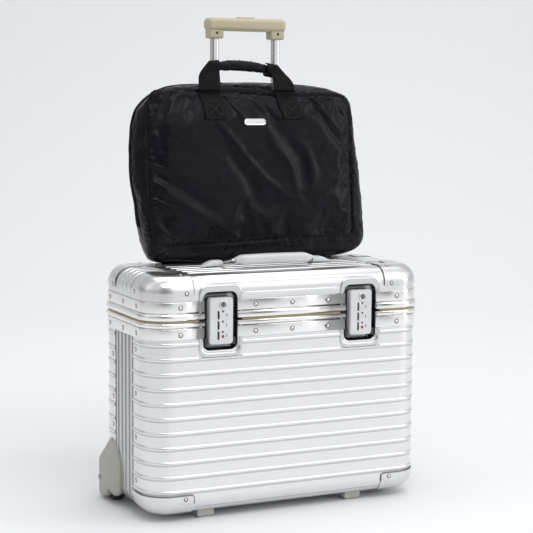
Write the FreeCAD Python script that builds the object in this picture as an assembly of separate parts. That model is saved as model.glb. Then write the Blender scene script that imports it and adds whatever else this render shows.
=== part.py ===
"""Aluminium pilot's case on two wheels, with a telescopic handle and a soft flight bag standing on its lid.

Millimetres. +Z is up, +X runs along the case's long side, the latches face -Y.
The shapes are drawn about the middle of the case, and save() moves them so that the origin is on the floor
under the middle of the box round the whole set.
"""
import FreeCAD, Part
import math
import os

V = FreeCAD.Vector

# ---- driving dimensions ----
CASE_LENGTH = 470.0
CASE_DEPTH = 210.7
CASE_TOP = 376.0          # top of the closed lid
CASE_BOTTOM = 12.0        # underside of the case, held up by the wheels and feet
CORNER_R = 43.5           # upright corners, seen from above
EDGE_R = 25.0             # long edges of the base and of the lid
SHEET = 1.6               # aluminium sheet
SEAM = 308.0              # height where the lid parts from the body
RIB_TOP, RIB_PITCH, RIB_COUNT, RIB_RISE = 273.8, 22.47, 11, 1.5
SHEET_EDGE_Y = 40.0       # where the front and back sheets end on the end faces
LATCH_X = 119.5
WHEEL_R, WHEEL_WIDTH, WHEEL_Y = 28.0, 20.0, 72.0
TUBE_Y, TUBE_X, TUBE_PITCH = 126.0, 24.0, 110.0
GRIP_TOP = 769.0
OVERLAP = 30.0            # length of tube left inside the next one when pulled out
HINGE_Y = 113.5
BAG_LEAN = 6.3            # degrees the soft bag leans back towards the tubes
BAG_HALF, BAG_THICK = 206.0, 54.0
BAG_FOOT = 377.8          # where the soft bag stands, just clear of the ribs of the lid
FIT = 0.05                # radial running clearance of a shaft
LIP = 4.0                 # how far the seam's lip stands proud; it is the foremost point of the set
SLEEVE_BACK_Y = 148.0     # rearmost point of the set

# ---- worked out from them ----
HX, HY = CASE_LENGTH / 2, CASE_DEPTH / 2
SX, SY = HX - CORNER_R, HY - CORNER_R
LINING = 1.5
CAP = 1.4
LATCH_OPEN_HALF, LATCH_RIM_HALF = 28.0, 35.5
LATCH_OPEN_LOW, LATCH_OPEN_HIGH = 262.5, 350.5
RIM = LATCH_RIM_HALF - LATCH_OPEN_HALF
POCKET_FLOOR = -HY + 10.85
TUBE_XS = (TUBE_X - TUBE_PITCH / 2, TUBE_X + TUBE_PITCH / 2)
GUIDE_LOW, GUIDE_TOP = 14.0, 274.0
STAGE = GUIDE_TOP - GUIDE_LOW
MIDDLE_LOW = GUIDE_TOP - OVERLAP - 0.5
INNER_LOW = MIDDLE_LOW + STAGE - OVERLAP
TUBE_TOP = 745.0
ROW_Y = (HY + LIP - SLEEVE_BACK_Y) / 2

os.makedirs("parts", exist_ok=True)


# ---- helpers ----
def box(x0, x1, y0, y1, z0, z1):
    return Part.makeBox(x1 - x0, y1 - y0, z1 - z0, V(x0, y0, z0))


def rod(start, end, radius):
    """Round bar between two points."""
    start, end = V(*start), V(*end)
    return Part.makeCylinder(radius, (end - start).Length, start, end - start)


def fuse(shapes):
    first = shapes[0]
    return first.multiFuse(shapes[1:]).removeSplitter() if len(shapes) > 1 else first


def group(shapes):
    return Part.makeCompound(shapes)


def flip(shape, axis):
    return shape.mirror(V(0, 0, 0), V(1, 0, 0) if axis == "x" else V(0, 1, 0))


def both_sides(shape):
    """The shape and its mirror image across the middle of the long side."""
    return [shape, flip(shape, "x")]


def line(a, b):
    return Part.LineSegment(V(*a), V(*b)).toShape()


def arc(a, middle, b):
    return Part.Arc(V(*a), V(*middle), V(*b)).toShape()


def section(points):
    """Face in the plane X = 0 from (inset, height) points; a 4-tuple is the middle and end of an arc."""
    edges, last, first = [], points[0], points[0]
    for point in list(points[1:]) + [first]:
        end = point[-2:]
        if len(point) == 4:
            edges.append(arc((0, *last), (0, *point[:2]), (0, *end)))
        elif math.dist(last, end) > 1e-6:
            edges.append(line((0, *last), (0, *end)))
        last = end
    return Part.Face(Part.Wire(edges))


def front_half(face, reach):
    """Run a section along the front, round both front corners and back along the ends to y = reach."""
    start = face.translated(V(-SX, -HY, 0))
    front = start.extrude(V(2 * SX, 0, 0))
    corner = start.revolve(V(-SX, -SY, 0), V(0, 0, 1), -90)
    end = start.copy()
    end.rotate(V(-SX, -SY, 0), V(0, 0, 1), -90)
    end = end.extrude(V(0, reach + SY, 0))
    return [front] + both_sides(corner) + both_sides(end)


def ring(face):
    """Run a section right round the case."""
    half = front_half(face, 0.0)
    return fuse(half + [flip(piece, "y") for piece in half])


def corner_cover(face, along_front, along_end):
    """Run a section round the front left corner only, with a straight tail on each side."""
    face = face.translated(V(-SX, -HY, 0))
    corner = face.revolve(V(-SX, -SY, 0), V(0, 0, 1), -90)
    tail = face.extrude(V(along_front, 0, 0))
    side = face.copy()
    side.rotate(V(-SX, -SY, 0), V(0, 0, 1), -90)
    return fuse([corner, tail, side.extrude(V(0, along_end, 0))])


def rivet(x, y, z, out, radius=3.0):
    """Domed rivet head on a face whose outward direction is out."""
    rise = radius / 2
    ball = (radius * radius + rise * rise) / (2 * rise)
    centre = V(x, y, z) - V(*out) * (ball - rise)
    return Part.makeSphere(ball, centre, V(*out), math.degrees(math.asin((ball - rise) / ball)), 90, 360)


def tube(x, y, z0, z1, wide, deep, wall):
    """Upright tube with flat sides and round ends, open at both ends."""
    def bar(w, d, low, high):
        end = d / 2
        bars = [rod((x + s * (w / 2 - end), y, low), (x + s * (w / 2 - end), y, high), end) for s in (-1, 1)]
        return fuse(bars + [box(x - w / 2 + end, x + w / 2 - end, y - end, y + end, low, high)])
    return bar(wide, deep, z0, z1).cut(bar(wide - 2 * wall, deep - 2 * wall, z0 - 1, z1 + 1))


def rounded_block(x0, x1, y0, y1, z0, z1, radius):
    shape = box(x0, x1, y0, y1, z0, z1)
    return shape.makeFillet(radius, shape.Edges)


def save(name, shape):
    """Writes one node, moved from the middle of the case to the middle of the whole set."""
    shape.translated(V(0, ROW_Y, 0)).exportStep(f"parts/{name}.step")


# ---- sections through the walls ----
def base_section(outer, wall, top, ribs=False, low=CASE_BOTTOM, reach=CORNER_R):
    """Wall that turns under at the base: outer is the inset of its outside face."""
    radius = EDGE_R - outer
    mid = radius * (1 - math.sqrt(0.5))
    bottom = low + outer
    points = [(outer, top)]
    for k in range(RIB_COUNT if ribs else 0):
        z = RIB_TOP - k * RIB_PITCH
        points += [(outer, z + 3.0), (outer - RIB_RISE, z, outer, z - 3.0)]
    inner = radius - wall
    inner_mid = inner * (1 - math.sqrt(0.5))
    points += [(outer, bottom + radius), (outer + mid, bottom + mid, outer + radius, bottom), (reach, bottom),
               (reach, bottom + wall), (outer + radius, bottom + wall),
               (outer + wall + inner_mid, bottom + wall + inner_mid, outer + wall, bottom + radius),
               (outer + wall, top)]
    return section(points)


def lid_section(outer, wall, low, top=CASE_TOP, reach=CORNER_R):
    """Wall that turns over at the top of the lid."""
    radius = EDGE_R - outer
    mid = radius * (1 - math.sqrt(0.5))
    crown = top - outer
    inner = radius - wall
    inner_mid = inner * (1 - math.sqrt(0.5))
    points = [(outer, low), (outer, crown - radius), (outer + mid, crown - mid, outer + radius, crown),
              (reach, crown), (reach, crown - wall), (outer + radius, crown - wall),
              (outer + wall + inner_mid, crown - wall - inner_mid, outer + wall, crown - radius),
              (outer + wall, low)]
    return section(points)


def strip(inset_out, inset_in, z0, z1):
    return section([(inset_out, z0), (inset_out, z1), (inset_in, z1), (inset_in, z0)])


# ---- holes shared by the sheets ----
def latch_block(half, low, high, front=-HY - 8, back=POCKET_FLOOR + 1.5):
    return [box(s * LATCH_X - half, s * LATCH_X + half, front, back, low, high) for s in (-1, 1)]


POCKETS = group(latch_block(LATCH_OPEN_HALF + 1.5, LATCH_OPEN_LOW - 1.5, LATCH_OPEN_HIGH + 1.5))
RIM_SEATS = group(latch_block(LATCH_RIM_HALF, LATCH_OPEN_LOW - RIM - 3.5, SEAM, back=-HY))
RIMS = group(latch_block(LATCH_RIM_HALF, LATCH_OPEN_LOW - RIM - 3.5, LATCH_OPEN_HIGH + RIM + 3.5,
                         back=-HY + 12))


def teardrop(grow=0.0):
    """Side outline of a wheel housing, in Y and Z, cut away in front below so that the tyre shows."""
    outline = [(56, 8), (14.5, 37.5), (17, 66), (34, 94), (58, 104), (80, 86), (103, 58), (114, 30), (107, 8)]
    centre = (66.0, 40.0)
    points = []
    for y, z in outline:
        far = math.dist((y, z), centre)
        points.append(V(0, y + grow * (y - centre[0]) / far, z + grow * (z - centre[1]) / far))
    curve = Part.BSplineCurve()
    curve.interpolate(points[1:-1])
    edges = [line(points[-1], points[0]), line(points[0], points[1]), curve.toShape(),
             line(points[-2], points[-1])]
    return Part.Face(Part.Wire(edges))


HOUSING_OUT, HOUSING_IN = -HX - 10.0, -HX + 31.0


def housing_solid(grow=0.0, inner=HOUSING_IN):
    return teardrop(grow).translated(V(HOUSING_OUT - grow, 0, 0)).extrude(V(inner - HOUSING_OUT + grow, 0, 0))


def wheel_room(gap):
    """Room round the left wheel, gap wider than its tyre."""
    return rod((-HX - 3, WHEEL_Y, WHEEL_R), (-HX + 5 + WHEEL_WIDTH, WHEEL_Y, WHEEL_R), WHEEL_R + gap)


WHEEL_WELLS = group(both_sides(fuse([housing_solid(0.2), wheel_room(3)])))


# ---- body of the case ----
def body_sheets():
    """Front and back sheets: horizontal ribs that wrap the corners, turned under at the base."""
    face = base_section(0.0, SHEET, 291.0, ribs=True)
    half = fuse(front_half(face, -SHEET_EDGE_Y))
    save("body_front_sheet", half.cut(POCKETS).cut(RIM_SEATS))
    save("body_back_sheet", flip(half, "y").cut(WHEEL_WELLS))


def body_center_sheet():
    """One strip down the left end, under the base and up the right end, with lengthwise ribs."""
    def u_shape(inset, wall, y0, y1, top):
        x_out, low = HX - inset, CASE_BOTTOM + inset
        radius = EDGE_R - inset
        small, mid = radius - wall, math.sqrt(0.5)
        outer = [(-x_out, top), (-x_out, low + radius), (-x_out + radius, low), (x_out - radius, low),
                 (x_out, low + radius), (x_out, top)]
        x_in, floor = x_out - wall, low + wall
        edges = [line((outer[0][0], y0, top), (outer[1][0], y0, outer[1][1])),
                 arc((-x_out, y0, low + radius), (-x_out + radius * (1 - mid), y0, low + radius * (1 - mid)),
                     (-x_out + radius, y0, low)),
                 line((-x_out + radius, y0, low), (x_out - radius, y0, low)),
                 arc((x_out - radius, y0, low), (x_out - radius * (1 - mid), y0, low + radius * (1 - mid)),
                     (x_out, y0, low + radius)),
                 line((x_out, y0, low + radius), (x_out, y0, top)),
                 line((x_out, y0, top), (x_in, y0, top)),
                 line((x_in, y0, top), (x_in, y0, low + radius)),
                 arc((x_in, y0, low + radius), (x_in - small * (1 - mid), y0, floor + small * (1 - mid)),
                     (x_out - radius, y0, floor)),
                 line((x_out - radius, y0, floor), (-x_out + radius, y0, floor)),
                 arc((-x_out + radius, y0, floor), (-x_in + small * (1 - mid), y0, floor + small * (1 - mid)),
                     (-x_in, y0, low + radius)),
                 line((-x_in, y0, low + radius), (-x_in, y0, top)),
                 line((-x_in, y0, top), (-x_out, y0, top))]
        return Part.Face(Part.Wire(edges)).extrude(V(0, y1 - y0, 0))
    strip_body = u_shape(SHEET, 1.2, -58, 58, 291.0)
    ribs = [u_shape(0.2, SHEET - 0.2, 16 * k - 2.5, 16 * k + 2.5, 280.5) for k in range(-2, 3)]
    pan = box(-200, 200, -78, 78, CASE_BOTTOM + SHEET, CASE_BOTTOM + SHEET + 1.2)
    save("body_center_sheet", fuse([strip_body, pan] + ribs).cut(WHEEL_WELLS))


def frames():
    """Extruded rims of body and lid, with the soft seal between them."""
    lower = section([(-2, 281), (-2, 298.5), (-LIP, 298.5), (-LIP, 307), (4.5, 307), (4.5, 293),
                     (SHEET + 1.2, 293),
                     (SHEET + 1.2, 291), (0, 291), (0, 281)])
    upper = section([(-2, 338), (-2, 321), (-LIP, 321), (-LIP, 309.6), (4.5, 309.6), (4.5, 322),
                     (0, 322), (0, 338)])
    save("frame_lower", ring(lower).cut(RIMS))
    save("frame_upper", ring(upper).cut(RIMS))
    save("frame_seal", ring(strip(-1.0, 3.0, 307.0, 309.2)).cut(RIMS))


def between_ribs(*numbers):
    """Heights halfway between one horizontal rib and the next, counted from the top."""
    return [RIB_TOP - (k + 0.5) * RIB_PITCH for k in numbers]


def rivets():
    """Rivet rows of both rims, the end seams and the base caps."""
    front_xs = (-185, -62, 0, 62, 185)
    band = -HY - 2.0
    lower = [rivet(x, band, 288.5, (0, -1, 0)) for x in front_xs]
    upper = [rivet(x, band, 329.5, (0, -1, 0)) for x in front_xs]
    for rows, z in ((lower, 288.5), (upper, 329.5)):
        rows += [rivet(x, -band, z, (0, 1, 0)) for x in (-185, -110, 0, 110, 185)]
        rows += [rivet(s * (HX + 2.0), y, z, (s, 0, 0)) for s in (-1, 1) for y in (-58, 0, 58)]
    seams = [rivet(s * HX, -50, z, (s, 0, 0)) for s in (-1, 1) for z in between_ribs(0, 3, 6, 9)]
    seams += [rivet(s * HX, 50, z, (s, 0, 0)) for s in (-1, 1) for z in between_ribs(1, 4, 6)]
    capped = [rivet(s * 176, -HY - CAP, 37.5, (0, -1, 0), 2.6) for s in (-1, 1)]
    save("body_rivets", group(lower + seams + capped))
    lid = [rivet(s * 175, t * (HY + CAP), 350.5, (0, t, 0), 2.6) for s in (-1, 1) for t in (-1, 1)]
    tilt = math.radians(14)
    reach = EDGE_R + CAP
    crown = (HY - EDGE_R + reach * math.sin(tilt), CASE_TOP - EDGE_R + reach * math.cos(tilt))
    lid += [rivet(s * 177, t * crown[0], crown[1], (0, t * math.sin(tilt), math.cos(tilt)), 2.6)
            for s in (-1, 1) for t in (-1, 1)]
    lid += [rivet(s * (HX + CAP), t * 48, 350.5, (s, 0, 0), 2.6) for s in (-1, 1) for t in (-1, 1)]
    save("lid_rivets", group(upper + lid))


def corner_caps():
    """Pressed covers: four on the lid, two at the front of the base."""
    base = corner_cover(base_section(-CAP, CAP, 43.0), SX - 162.0, SY - SHEET_EDGE_Y)
    save("base_corner_caps", group(both_sides(base)))
    top = corner_cover(lid_section(-CAP, CAP, 347.0), SX - 163.0, SY - 38.0)
    caps = both_sides(top)
    save("lid_corner_caps", group(caps + [flip(cap, "y") for cap in caps]))


def feet():
    """Two wedge feet under the front edge."""
    shapes = []
    for x in (-133.5, 122.0):
        foot = box(x - 13.5, x + 13.5, -84, -50, 0, CASE_BOTTOM)
        foot = foot.makeChamfer(3.0, [e for e in foot.Edges if abs(e.CenterOfMass.z) < 0.01])
        shapes.append(foot)
    save("front_feet", group(shapes))


def latch_dishes():
    """Pressed dishes that the latches sit in, split at the seam between body and lid."""
    def dish(low, high, cut_low, cut_high):
        shapes = []
        for s in (-1, 1):
            x = s * LATCH_X
            rim = box(x - LATCH_RIM_HALF, x + LATCH_RIM_HALF, -HY - 3.2, -HY - 0.4, low, high)
            long_edges = [e for e in rim.Edges if abs(e.tangentAt(e.FirstParameter).y) > 0.9]
            outer_z = low if low < SEAM - 20 else high
            rim = rim.makeFillet(12.0, [e for e in long_edges if abs(e.CenterOfMass.z - outer_z) < 0.01])
            cup = box(x - LATCH_OPEN_HALF - 1.5, x + LATCH_OPEN_HALF + 1.5, -HY - 0.4, POCKET_FLOOR + 1.5,
                      max(low, cut_low - 1.5), min(high, cut_high + 1.5))
            hollow = box(x - LATCH_OPEN_HALF, x + LATCH_OPEN_HALF, -HY - 9, POCKET_FLOOR, cut_low, cut_high)
            shapes.append(fuse([rim, cup]).cut(hollow))
        return group(shapes)
    save("latch_dishes_lower", dish(251.5, SEAM - 1.0, LATCH_OPEN_LOW, SEAM + 20))
    save("latch_dishes_upper", dish(SEAM + 1.6, 361.5, SEAM - 20, LATCH_OPEN_HIGH))
    pegs = [box(x - 10, x + 10, POCKET_FLOOR - 0.9, POCKET_FLOOR, 324, 332) for x in (-LATCH_X, LATCH_X)]
    save("latch_keepers", group(pegs))
    lugs = []
    for s in (-1, 1):
        for t in (-1, 1):
            x = s * LATCH_X + t * 23.0
            lug = box(x - 2.2, x + 2.2, -HY + 1.0, POCKET_FLOOR, 269.5, 280.5)
            lugs.append(lug.cut(rod((x - 5, -100.0, 275.0), (x + 5, -100.0, 275.0), 1.5)))
    pins = [rod((x - 25.2, -100.0, 275.0), (x + 25.2, -100.0, 275.0), 1.5) for x in (-LATCH_X, LATCH_X)]
    save("latch_pivots", group(lugs + pins))


def hinges():
    """Two butt hinges at the back: body leaf, lid leaf and pin."""
    body, lid, pins = [], [], []
    for x in (-150.0, 150.0):
        axis = [(x - 25, HINGE_Y, SEAM), (x + 25, HINGE_Y, SEAM)]
        hole = rod(*axis, 1.5)
        loose = rod(*axis, 1.5 + FIT)
        spans = ((x - 25, x - 8.5), (x + 8.5, x + 25))
        knuckle = [rod((a, HINGE_Y, SEAM), (b, HINGE_Y, SEAM), 3.2) for a, b in spans]
        web = [box(a, b, HY + LIP, HINGE_Y, SEAM - 3.2, SEAM - 1.2) for a, b in spans]
        leaf = box(x - 25, x + 25, HY + 4.0, HY + 5.5, 290, SEAM - 1.2)
        pad = box(x - 25, x + 25, HY + 2.0, HY + 4.0, 290, 298.4)
        room = rod((x - 8.5, HINGE_Y, SEAM), (x + 8.5, HINGE_Y, SEAM), 3.5)
        body.append(fuse(knuckle + web + [leaf, pad]).cut(hole).cut(room))
        middle = rod((x - 8.2, HINGE_Y, SEAM), (x + 8.2, HINGE_Y, SEAM), 3.2)
        lid_web = box(x - 8.2, x + 8.2, HY + 4.0, HINGE_Y, SEAM + 1.0, SEAM + 3.2)
        lid_leaf = box(x - 25, x + 25, HY + 4.0, HY + 5.5, SEAM + 3.6, 328)
        lid_neck = box(x - 8.2, x + 8.2, HY + 4.0, HY + 5.5, SEAM + 1.8, SEAM + 4.0)
        lid_pad = box(x - 25, x + 25, HY + 2.0, HY + 4.0, 321.1, 328)
        lid.append(fuse([middle, lid_web, lid_leaf, lid_neck, lid_pad]).cut(loose))
        pins.append(rod(*axis, 1.5))
    save("hinge_body_leaves", group(body))
    save("hinge_lid_leaves", group(lid))
    save("hinge_pins", group(pins))


def linings():
    """Fabric-covered lining boards inside the body and the lid."""
    inset = SHEET + 1.2 + 0.2
    board = base_section(inset, LINING, 290.5)
    low = CASE_BOTTOM + inset
    shell = ring(board)
    floor = box(-SX - 1, SX + 1, -SY - 1, SY + 1, low, low + LINING)
    well = group(both_sides(fuse([housing_solid(2.0), wheel_room(5)])))
    pockets = group(latch_block(LATCH_OPEN_HALF + 2, LATCH_OPEN_LOW - 2, LATCH_OPEN_HIGH + 2,
                                back=POCKET_FLOOR + 2))
    save("body_lining", fuse([shell, floor]).cut(well).cut(pockets))
    walls = ring(lid_section(inset, LINING, 322.5))
    roof = box(-SX - 1, SX + 1, -SY - 1, SY + 1, CASE_TOP - inset - LINING, CASE_TOP - inset)
    save("lid_lining", fuse([walls, roof]).cut(pockets))


# ---- lid ----
def lid_shell():
    """Lid sheet: turned over at the top, ribs along X over the crown."""
    walls = ring(lid_section(0.0, SHEET, 322.0))
    crown = box(-SX - 2, SX + 2, -SY - 2, SY + 2, CASE_TOP - SHEET, CASE_TOP)
    ribs = []
    for k in range(-3, 4):
        bar = rod((-158, 22 * k, CASE_TOP - 2.2), (158, 22 * k, CASE_TOP - 2.2), 3.6)
        ribs.append(bar.common(box(-159, 159, 22 * k - 5, 22 * k + 5, CASE_TOP - 0.8, CASE_TOP + 5)))
    save("lid_shell", fuse([walls, crown] + ribs).cut(POCKETS))


def carry_handle():
    """Fold-down carry handle: brackets on the lid, a bail and a moulded grip."""
    blocks, washers = [], []
    for s in (-1, 1):
        block = box(s * 92 - 6, s * 92 + 6, -20, -4, CASE_TOP + 1.45, 389)
        block = block.makeFillet(4.0, [e for e in block.Edges if e.CenterOfMass.z > 388.9])
        blocks.append(block.cut(rod((s * 84, -12, 383.0), (s * 100, -12, 383.0), 2.5 + FIT)))
        washers.append(box(s * 92 - 9, s * 92 + 9, -24, 0, CASE_TOP, CASE_TOP + 1.45))
    ribs = group([box(-159, 159, y - 3.2, y + 3.2, CASE_TOP, CASE_TOP + 1.44) for y in range(-66, 67, 22)])
    save("carry_handle_brackets", group(blocks + [washer.cut(ribs) for washer in washers]))
    bail = []
    for s in (-1, 1):
        bail.append(rod((s * 97, -12, 383.0), (s * 78, -12, 383.0), 2.5))
        bail.append(rod((s * 80.5, -12, 383.0), (s * 70, -38, 389.5), 2.5))
        bail.append(Part.makeSphere(2.5, V(s * 70, -38, 389.5)))
    bail.append(rod((-70, -38, 389.5), (70, -38, 389.5), 2.5))
    save("carry_handle_bail", fuse(bail))
    grip = rounded_block(-66, 66, -49, -27, 381.5, 397.5, 6.0)
    tunnel = fuse([rod((-70, -38, 389.5), (70, -38, 389.5), 2.5)] + [
        rod((s * 80.5, -12, 383.0), (s * 70, -38, 389.5), 2.5) for s in (-1, 1)])
    save("carry_handle_grip", grip.cut(tunnel))


# ---- latches ----
DIAL_ZS = (315.5, 300.0, 284.5)
DIAL_Y = -101.6


def latches():
    """Toggle latch with three number wheels and a key cylinder, one on each side."""
    for side, s in (("left", -1), ("right", 1)):
        x = s * LATCH_X
        plate = box(x - 19.3, x + 19.3, -107.5, -97.0, 271.5, 342.0)
        uprights = [e for e in plate.Edges if abs(e.tangentAt(e.FirstParameter).y) > 0.9]
        plate = plate.makeFillet(5.0, uprights)
        ridge = box(x - 18.3, x - 6.8, -109.3, -107.5, 273.5, 340.0)
        collar = rod((x + 3.0, -108.6, 331.5), (x + 3.0, -107.0, 331.5), 6.3)
        room = box(x - 8.0, x + 11.5, -104.9, -96.0, 274.8, 323.6)
        room = room.fuse(box(x - 16.0, x + 16.0, -100.2, -96.0, 279.5, 323.6))
        shape = fuse([plate, ridge, collar]).cut(room)
        for z in DIAL_ZS:
            shape = shape.cut(box(x - 6.6, x - 2.6, -110, -104, z - 6.4, z + 6.4))
            shape = shape.cut(rod((x + 3.0, -110, z + 5.4), (x + 3.0, -104, z + 5.4), 1.7))
        shape = shape.cut(rod((x - 30, -100.0, 275.0), (x + 30, -100.0, 275.0), 1.5 + FIT))
        shape = shape.cut(rod((x + 3.0, -110, 331.5), (x + 3.0, -96, 331.5), 4.6))
        save(f"latch_{side}_body", shape)
        shaft = rod((x - 7.9, DIAL_Y, 0), (x + 11.4, DIAL_Y, 0), 1.2)
        frames = []
        for k, z in enumerate(DIAL_ZS):
            dial = fuse([rod((x - 6.3, DIAL_Y, z), (x - 2.9, DIAL_Y, z), 6.6),
                         rod((x - 2.9, DIAL_Y, z), (x + 8.0, DIAL_Y, z), 3.1)])
            bore = rod((x - 9, DIAL_Y, z), (x + 9, DIAL_Y, z), 1.2 + FIT)
            save(f"latch_{side}_dial_{k + 1}", dial.cut(bore))
            frames.append(shaft.translated(V(0, 0, z)))
        save(f"latch_{side}_dial_shafts", group(frames))
        barrel = rod((x + 3.0, -108.2, 331.5), (x + 3.0, -98.5, 331.5), 4.6 - FIT)
        slot = box(x + 2.4, x + 3.6, -110, -104, 328.6, 334.4)
        save(f"latch_{side}_key_cylinder", barrel.cut(slot))


# ---- wheels ----
def wheels():
    """Corner wheels on fixed axles in moulded housings."""
    y, z = WHEEL_Y, WHEEL_R
    x0 = -HX + 2.0
    x1 = x0 + WHEEL_WIDTH
    axle_ends = (HOUSING_OUT + 2.0, HOUSING_IN - 2.0)
    body = housing_solid()
    cavity = rod((x0 - 2, y, z), (x1 + 2, y, z), WHEEL_R + 3)
    cavity = cavity.fuse(box(x0 - 2, x1 + 2, y - WHEEL_R - 3, y + WHEEL_R + 3, -5, z))
    axle = rod((axle_ends[0], y, z), (axle_ends[1], y, z), 3.0)
    plan = box(HOUSING_OUT, HOUSING_IN, 0, HY + 10, -1, 120)
    corner = V(HOUSING_OUT, HY + 10, 0)
    rear = [e for e in plan.Edges
            if abs(e.CenterOfMass.x - corner.x) < 0.1 and abs(e.CenterOfMass.y - corner.y) < 0.1]
    shape = body.common(plan.makeFillet(28.0, rear)).cut(cavity).cut(axle)
    tyre = rod((x0, y, z), (x1, y, z), WHEEL_R)
    rims = [e for e in tyre.Edges if isinstance(e.Curve, Part.Circle)]
    tyre = tyre.makeFillet(4.0, rims).cut(rod((x0 - 1, y, z), (x1 + 1, y, z), 19.0))
    hub = rod((x0 + 1, y, z), (x1 - 1, y, z), 19.0).cut(rod((x0, y, z), (x1, y, z), 3.0 + FIT))
    groove = rod((x0 + 1, y, z), (x0 + 4, y, z), 15.0).cut(rod((x0 + 1, y, z), (x0 + 4, y, z), 7.0))
    hub = hub.cut(groove)
    screw = fuse([rod((HOUSING_OUT - 1.2, 90, 34), (HOUSING_OUT, 90, 34), 4.0)])
    screw = screw.cut(box(HOUSING_OUT - 2, HOUSING_OUT - 0.6, 87.2, 92.8, 33.4, 34.6))
    save("wheel_housings", group(both_sides(shape)))
    for side, turn in (("left", False), ("right", True)):
        for name, piece in (("tyre", tyre), ("hub", hub)):
            save(f"wheel_{side}_{name}", flip(piece, "x") if turn else piece)
    save("wheel_axles", group(both_sides(axle)))
    save("housing_screws", group(both_sides(screw)))


# ---- telescopic handle ----
GUIDE, MIDDLE, INNER = (21.0, 16.6, 1.4), (18.1, 13.7, 1.25), (15.4, 11.0, 1.2)


def telescopic_handle():
    save("trolley_guide_tubes", group([tube(x, TUBE_Y, GUIDE_LOW, GUIDE_TOP, *GUIDE) for x in TUBE_XS]))
    middle = [tube(x, TUBE_Y, MIDDLE_LOW, MIDDLE_LOW + STAGE, *MIDDLE) for x in TUBE_XS]
    save("trolley_middle_tubes", group(middle))
    save("trolley_inner_tubes", group([tube(x, TUBE_Y, INNER_LOW, TUBE_TOP, *INNER) for x in TUBE_XS]))
    half = TUBE_PITCH / 2 + 17
    holes = group([tube(x, TUBE_Y, 0, 400, GUIDE[0], GUIDE[1], GUIDE[1] / 2 - 0.01) for x in TUBE_XS]
                  + [box(x - 8, x + 8, TUBE_Y - 6, TUBE_Y + 6, 0, 400) for x in TUBE_XS])
    clamps = []
    for low, high in ((20.0, 52.0), (240.0, 266.0)):
        block = box(TUBE_X - half, TUBE_X + half, HY + RIB_RISE + 0.1, TUBE_Y + 11.5, low, high)
        rear = [e for e in block.Edges
                if abs(e.tangentAt(e.FirstParameter).z) > 0.9 and e.CenterOfMass.y > TUBE_Y]
        clamps.append(block.makeFillet(6.0, rear).cut(holes))
    save("trolley_clamps", group(clamps))
    low, high = GRIP_TOP - 21.0, GRIP_TOP
    bar = rounded_block(TUBE_X - 70, TUBE_X + 70, TUBE_Y - 14, TUBE_Y + 14, low, high, 7.0)
    legs = [rounded_block(x - 12.5, x + 12.5, TUBE_Y - 11, TUBE_Y + 11, 735.5, low + 10, 3.0)
            for x in TUBE_XS]
    well = box(TUBE_X - 15.3, TUBE_X + 15.3, TUBE_Y - 6.3, TUBE_Y + 6.3, high - 8.3, high + 1)
    sockets = group([tube(x, TUBE_Y, 730, TUBE_TOP, INNER[0], INNER[1], INNER[1] / 2 - 0.01) for x in TUBE_XS]
                    + [box(x - 6, x + 6, TUBE_Y - 4, TUBE_Y + 4, 730, TUBE_TOP) for x in TUBE_XS])
    save("trolley_grip", fuse([bar] + legs).cut(well).cut(sockets))
    save("trolley_grip_rivets", group([rivet(x, TUBE_Y - 11, 744.5, (0, -1, 0), 2.2) for x in TUBE_XS]))
    button = box(TUBE_X - 15, TUBE_X + 15, TUBE_Y - 6, TUBE_Y + 6, high - 5.0, high + 1.6)
    upright = [e for e in button.Edges if abs(e.tangentAt(e.FirstParameter).z) > 0.9]
    save("trolley_grip_button", button.makeFillet(4.5, upright))


# ---- soft bag ----
def leaned(shape):
    shape = shape.copy()
    shape.rotate(V(0, BAG_FRONT + BAG_THICK / 2, CASE_TOP), V(1, 0, 0), -BAG_LEAN)
    return shape


BAG_FRONT = 21.0
BAG_BACK = BAG_FRONT + BAG_THICK
BAG_SLAB_TOP = 660.5
HANDLE_TOP = 698.0
STRAP_XS = (-78.0, 60.0)


def slab(half, low, high, front, back, corner, edge):
    """Upright pad with rounded corners and soft edges."""
    shape = box(-half, half, front, back, low, high)
    shape = shape.makeFillet(corner, [e for e in shape.Edges if abs(e.tangentAt(e.FirstParameter).y) > 0.9])
    rims = [e for e in shape.Edges if abs(e.tangentAt(e.FirstParameter).y) < 0.5]
    return shape.makeFillet(edge, rims)


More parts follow.
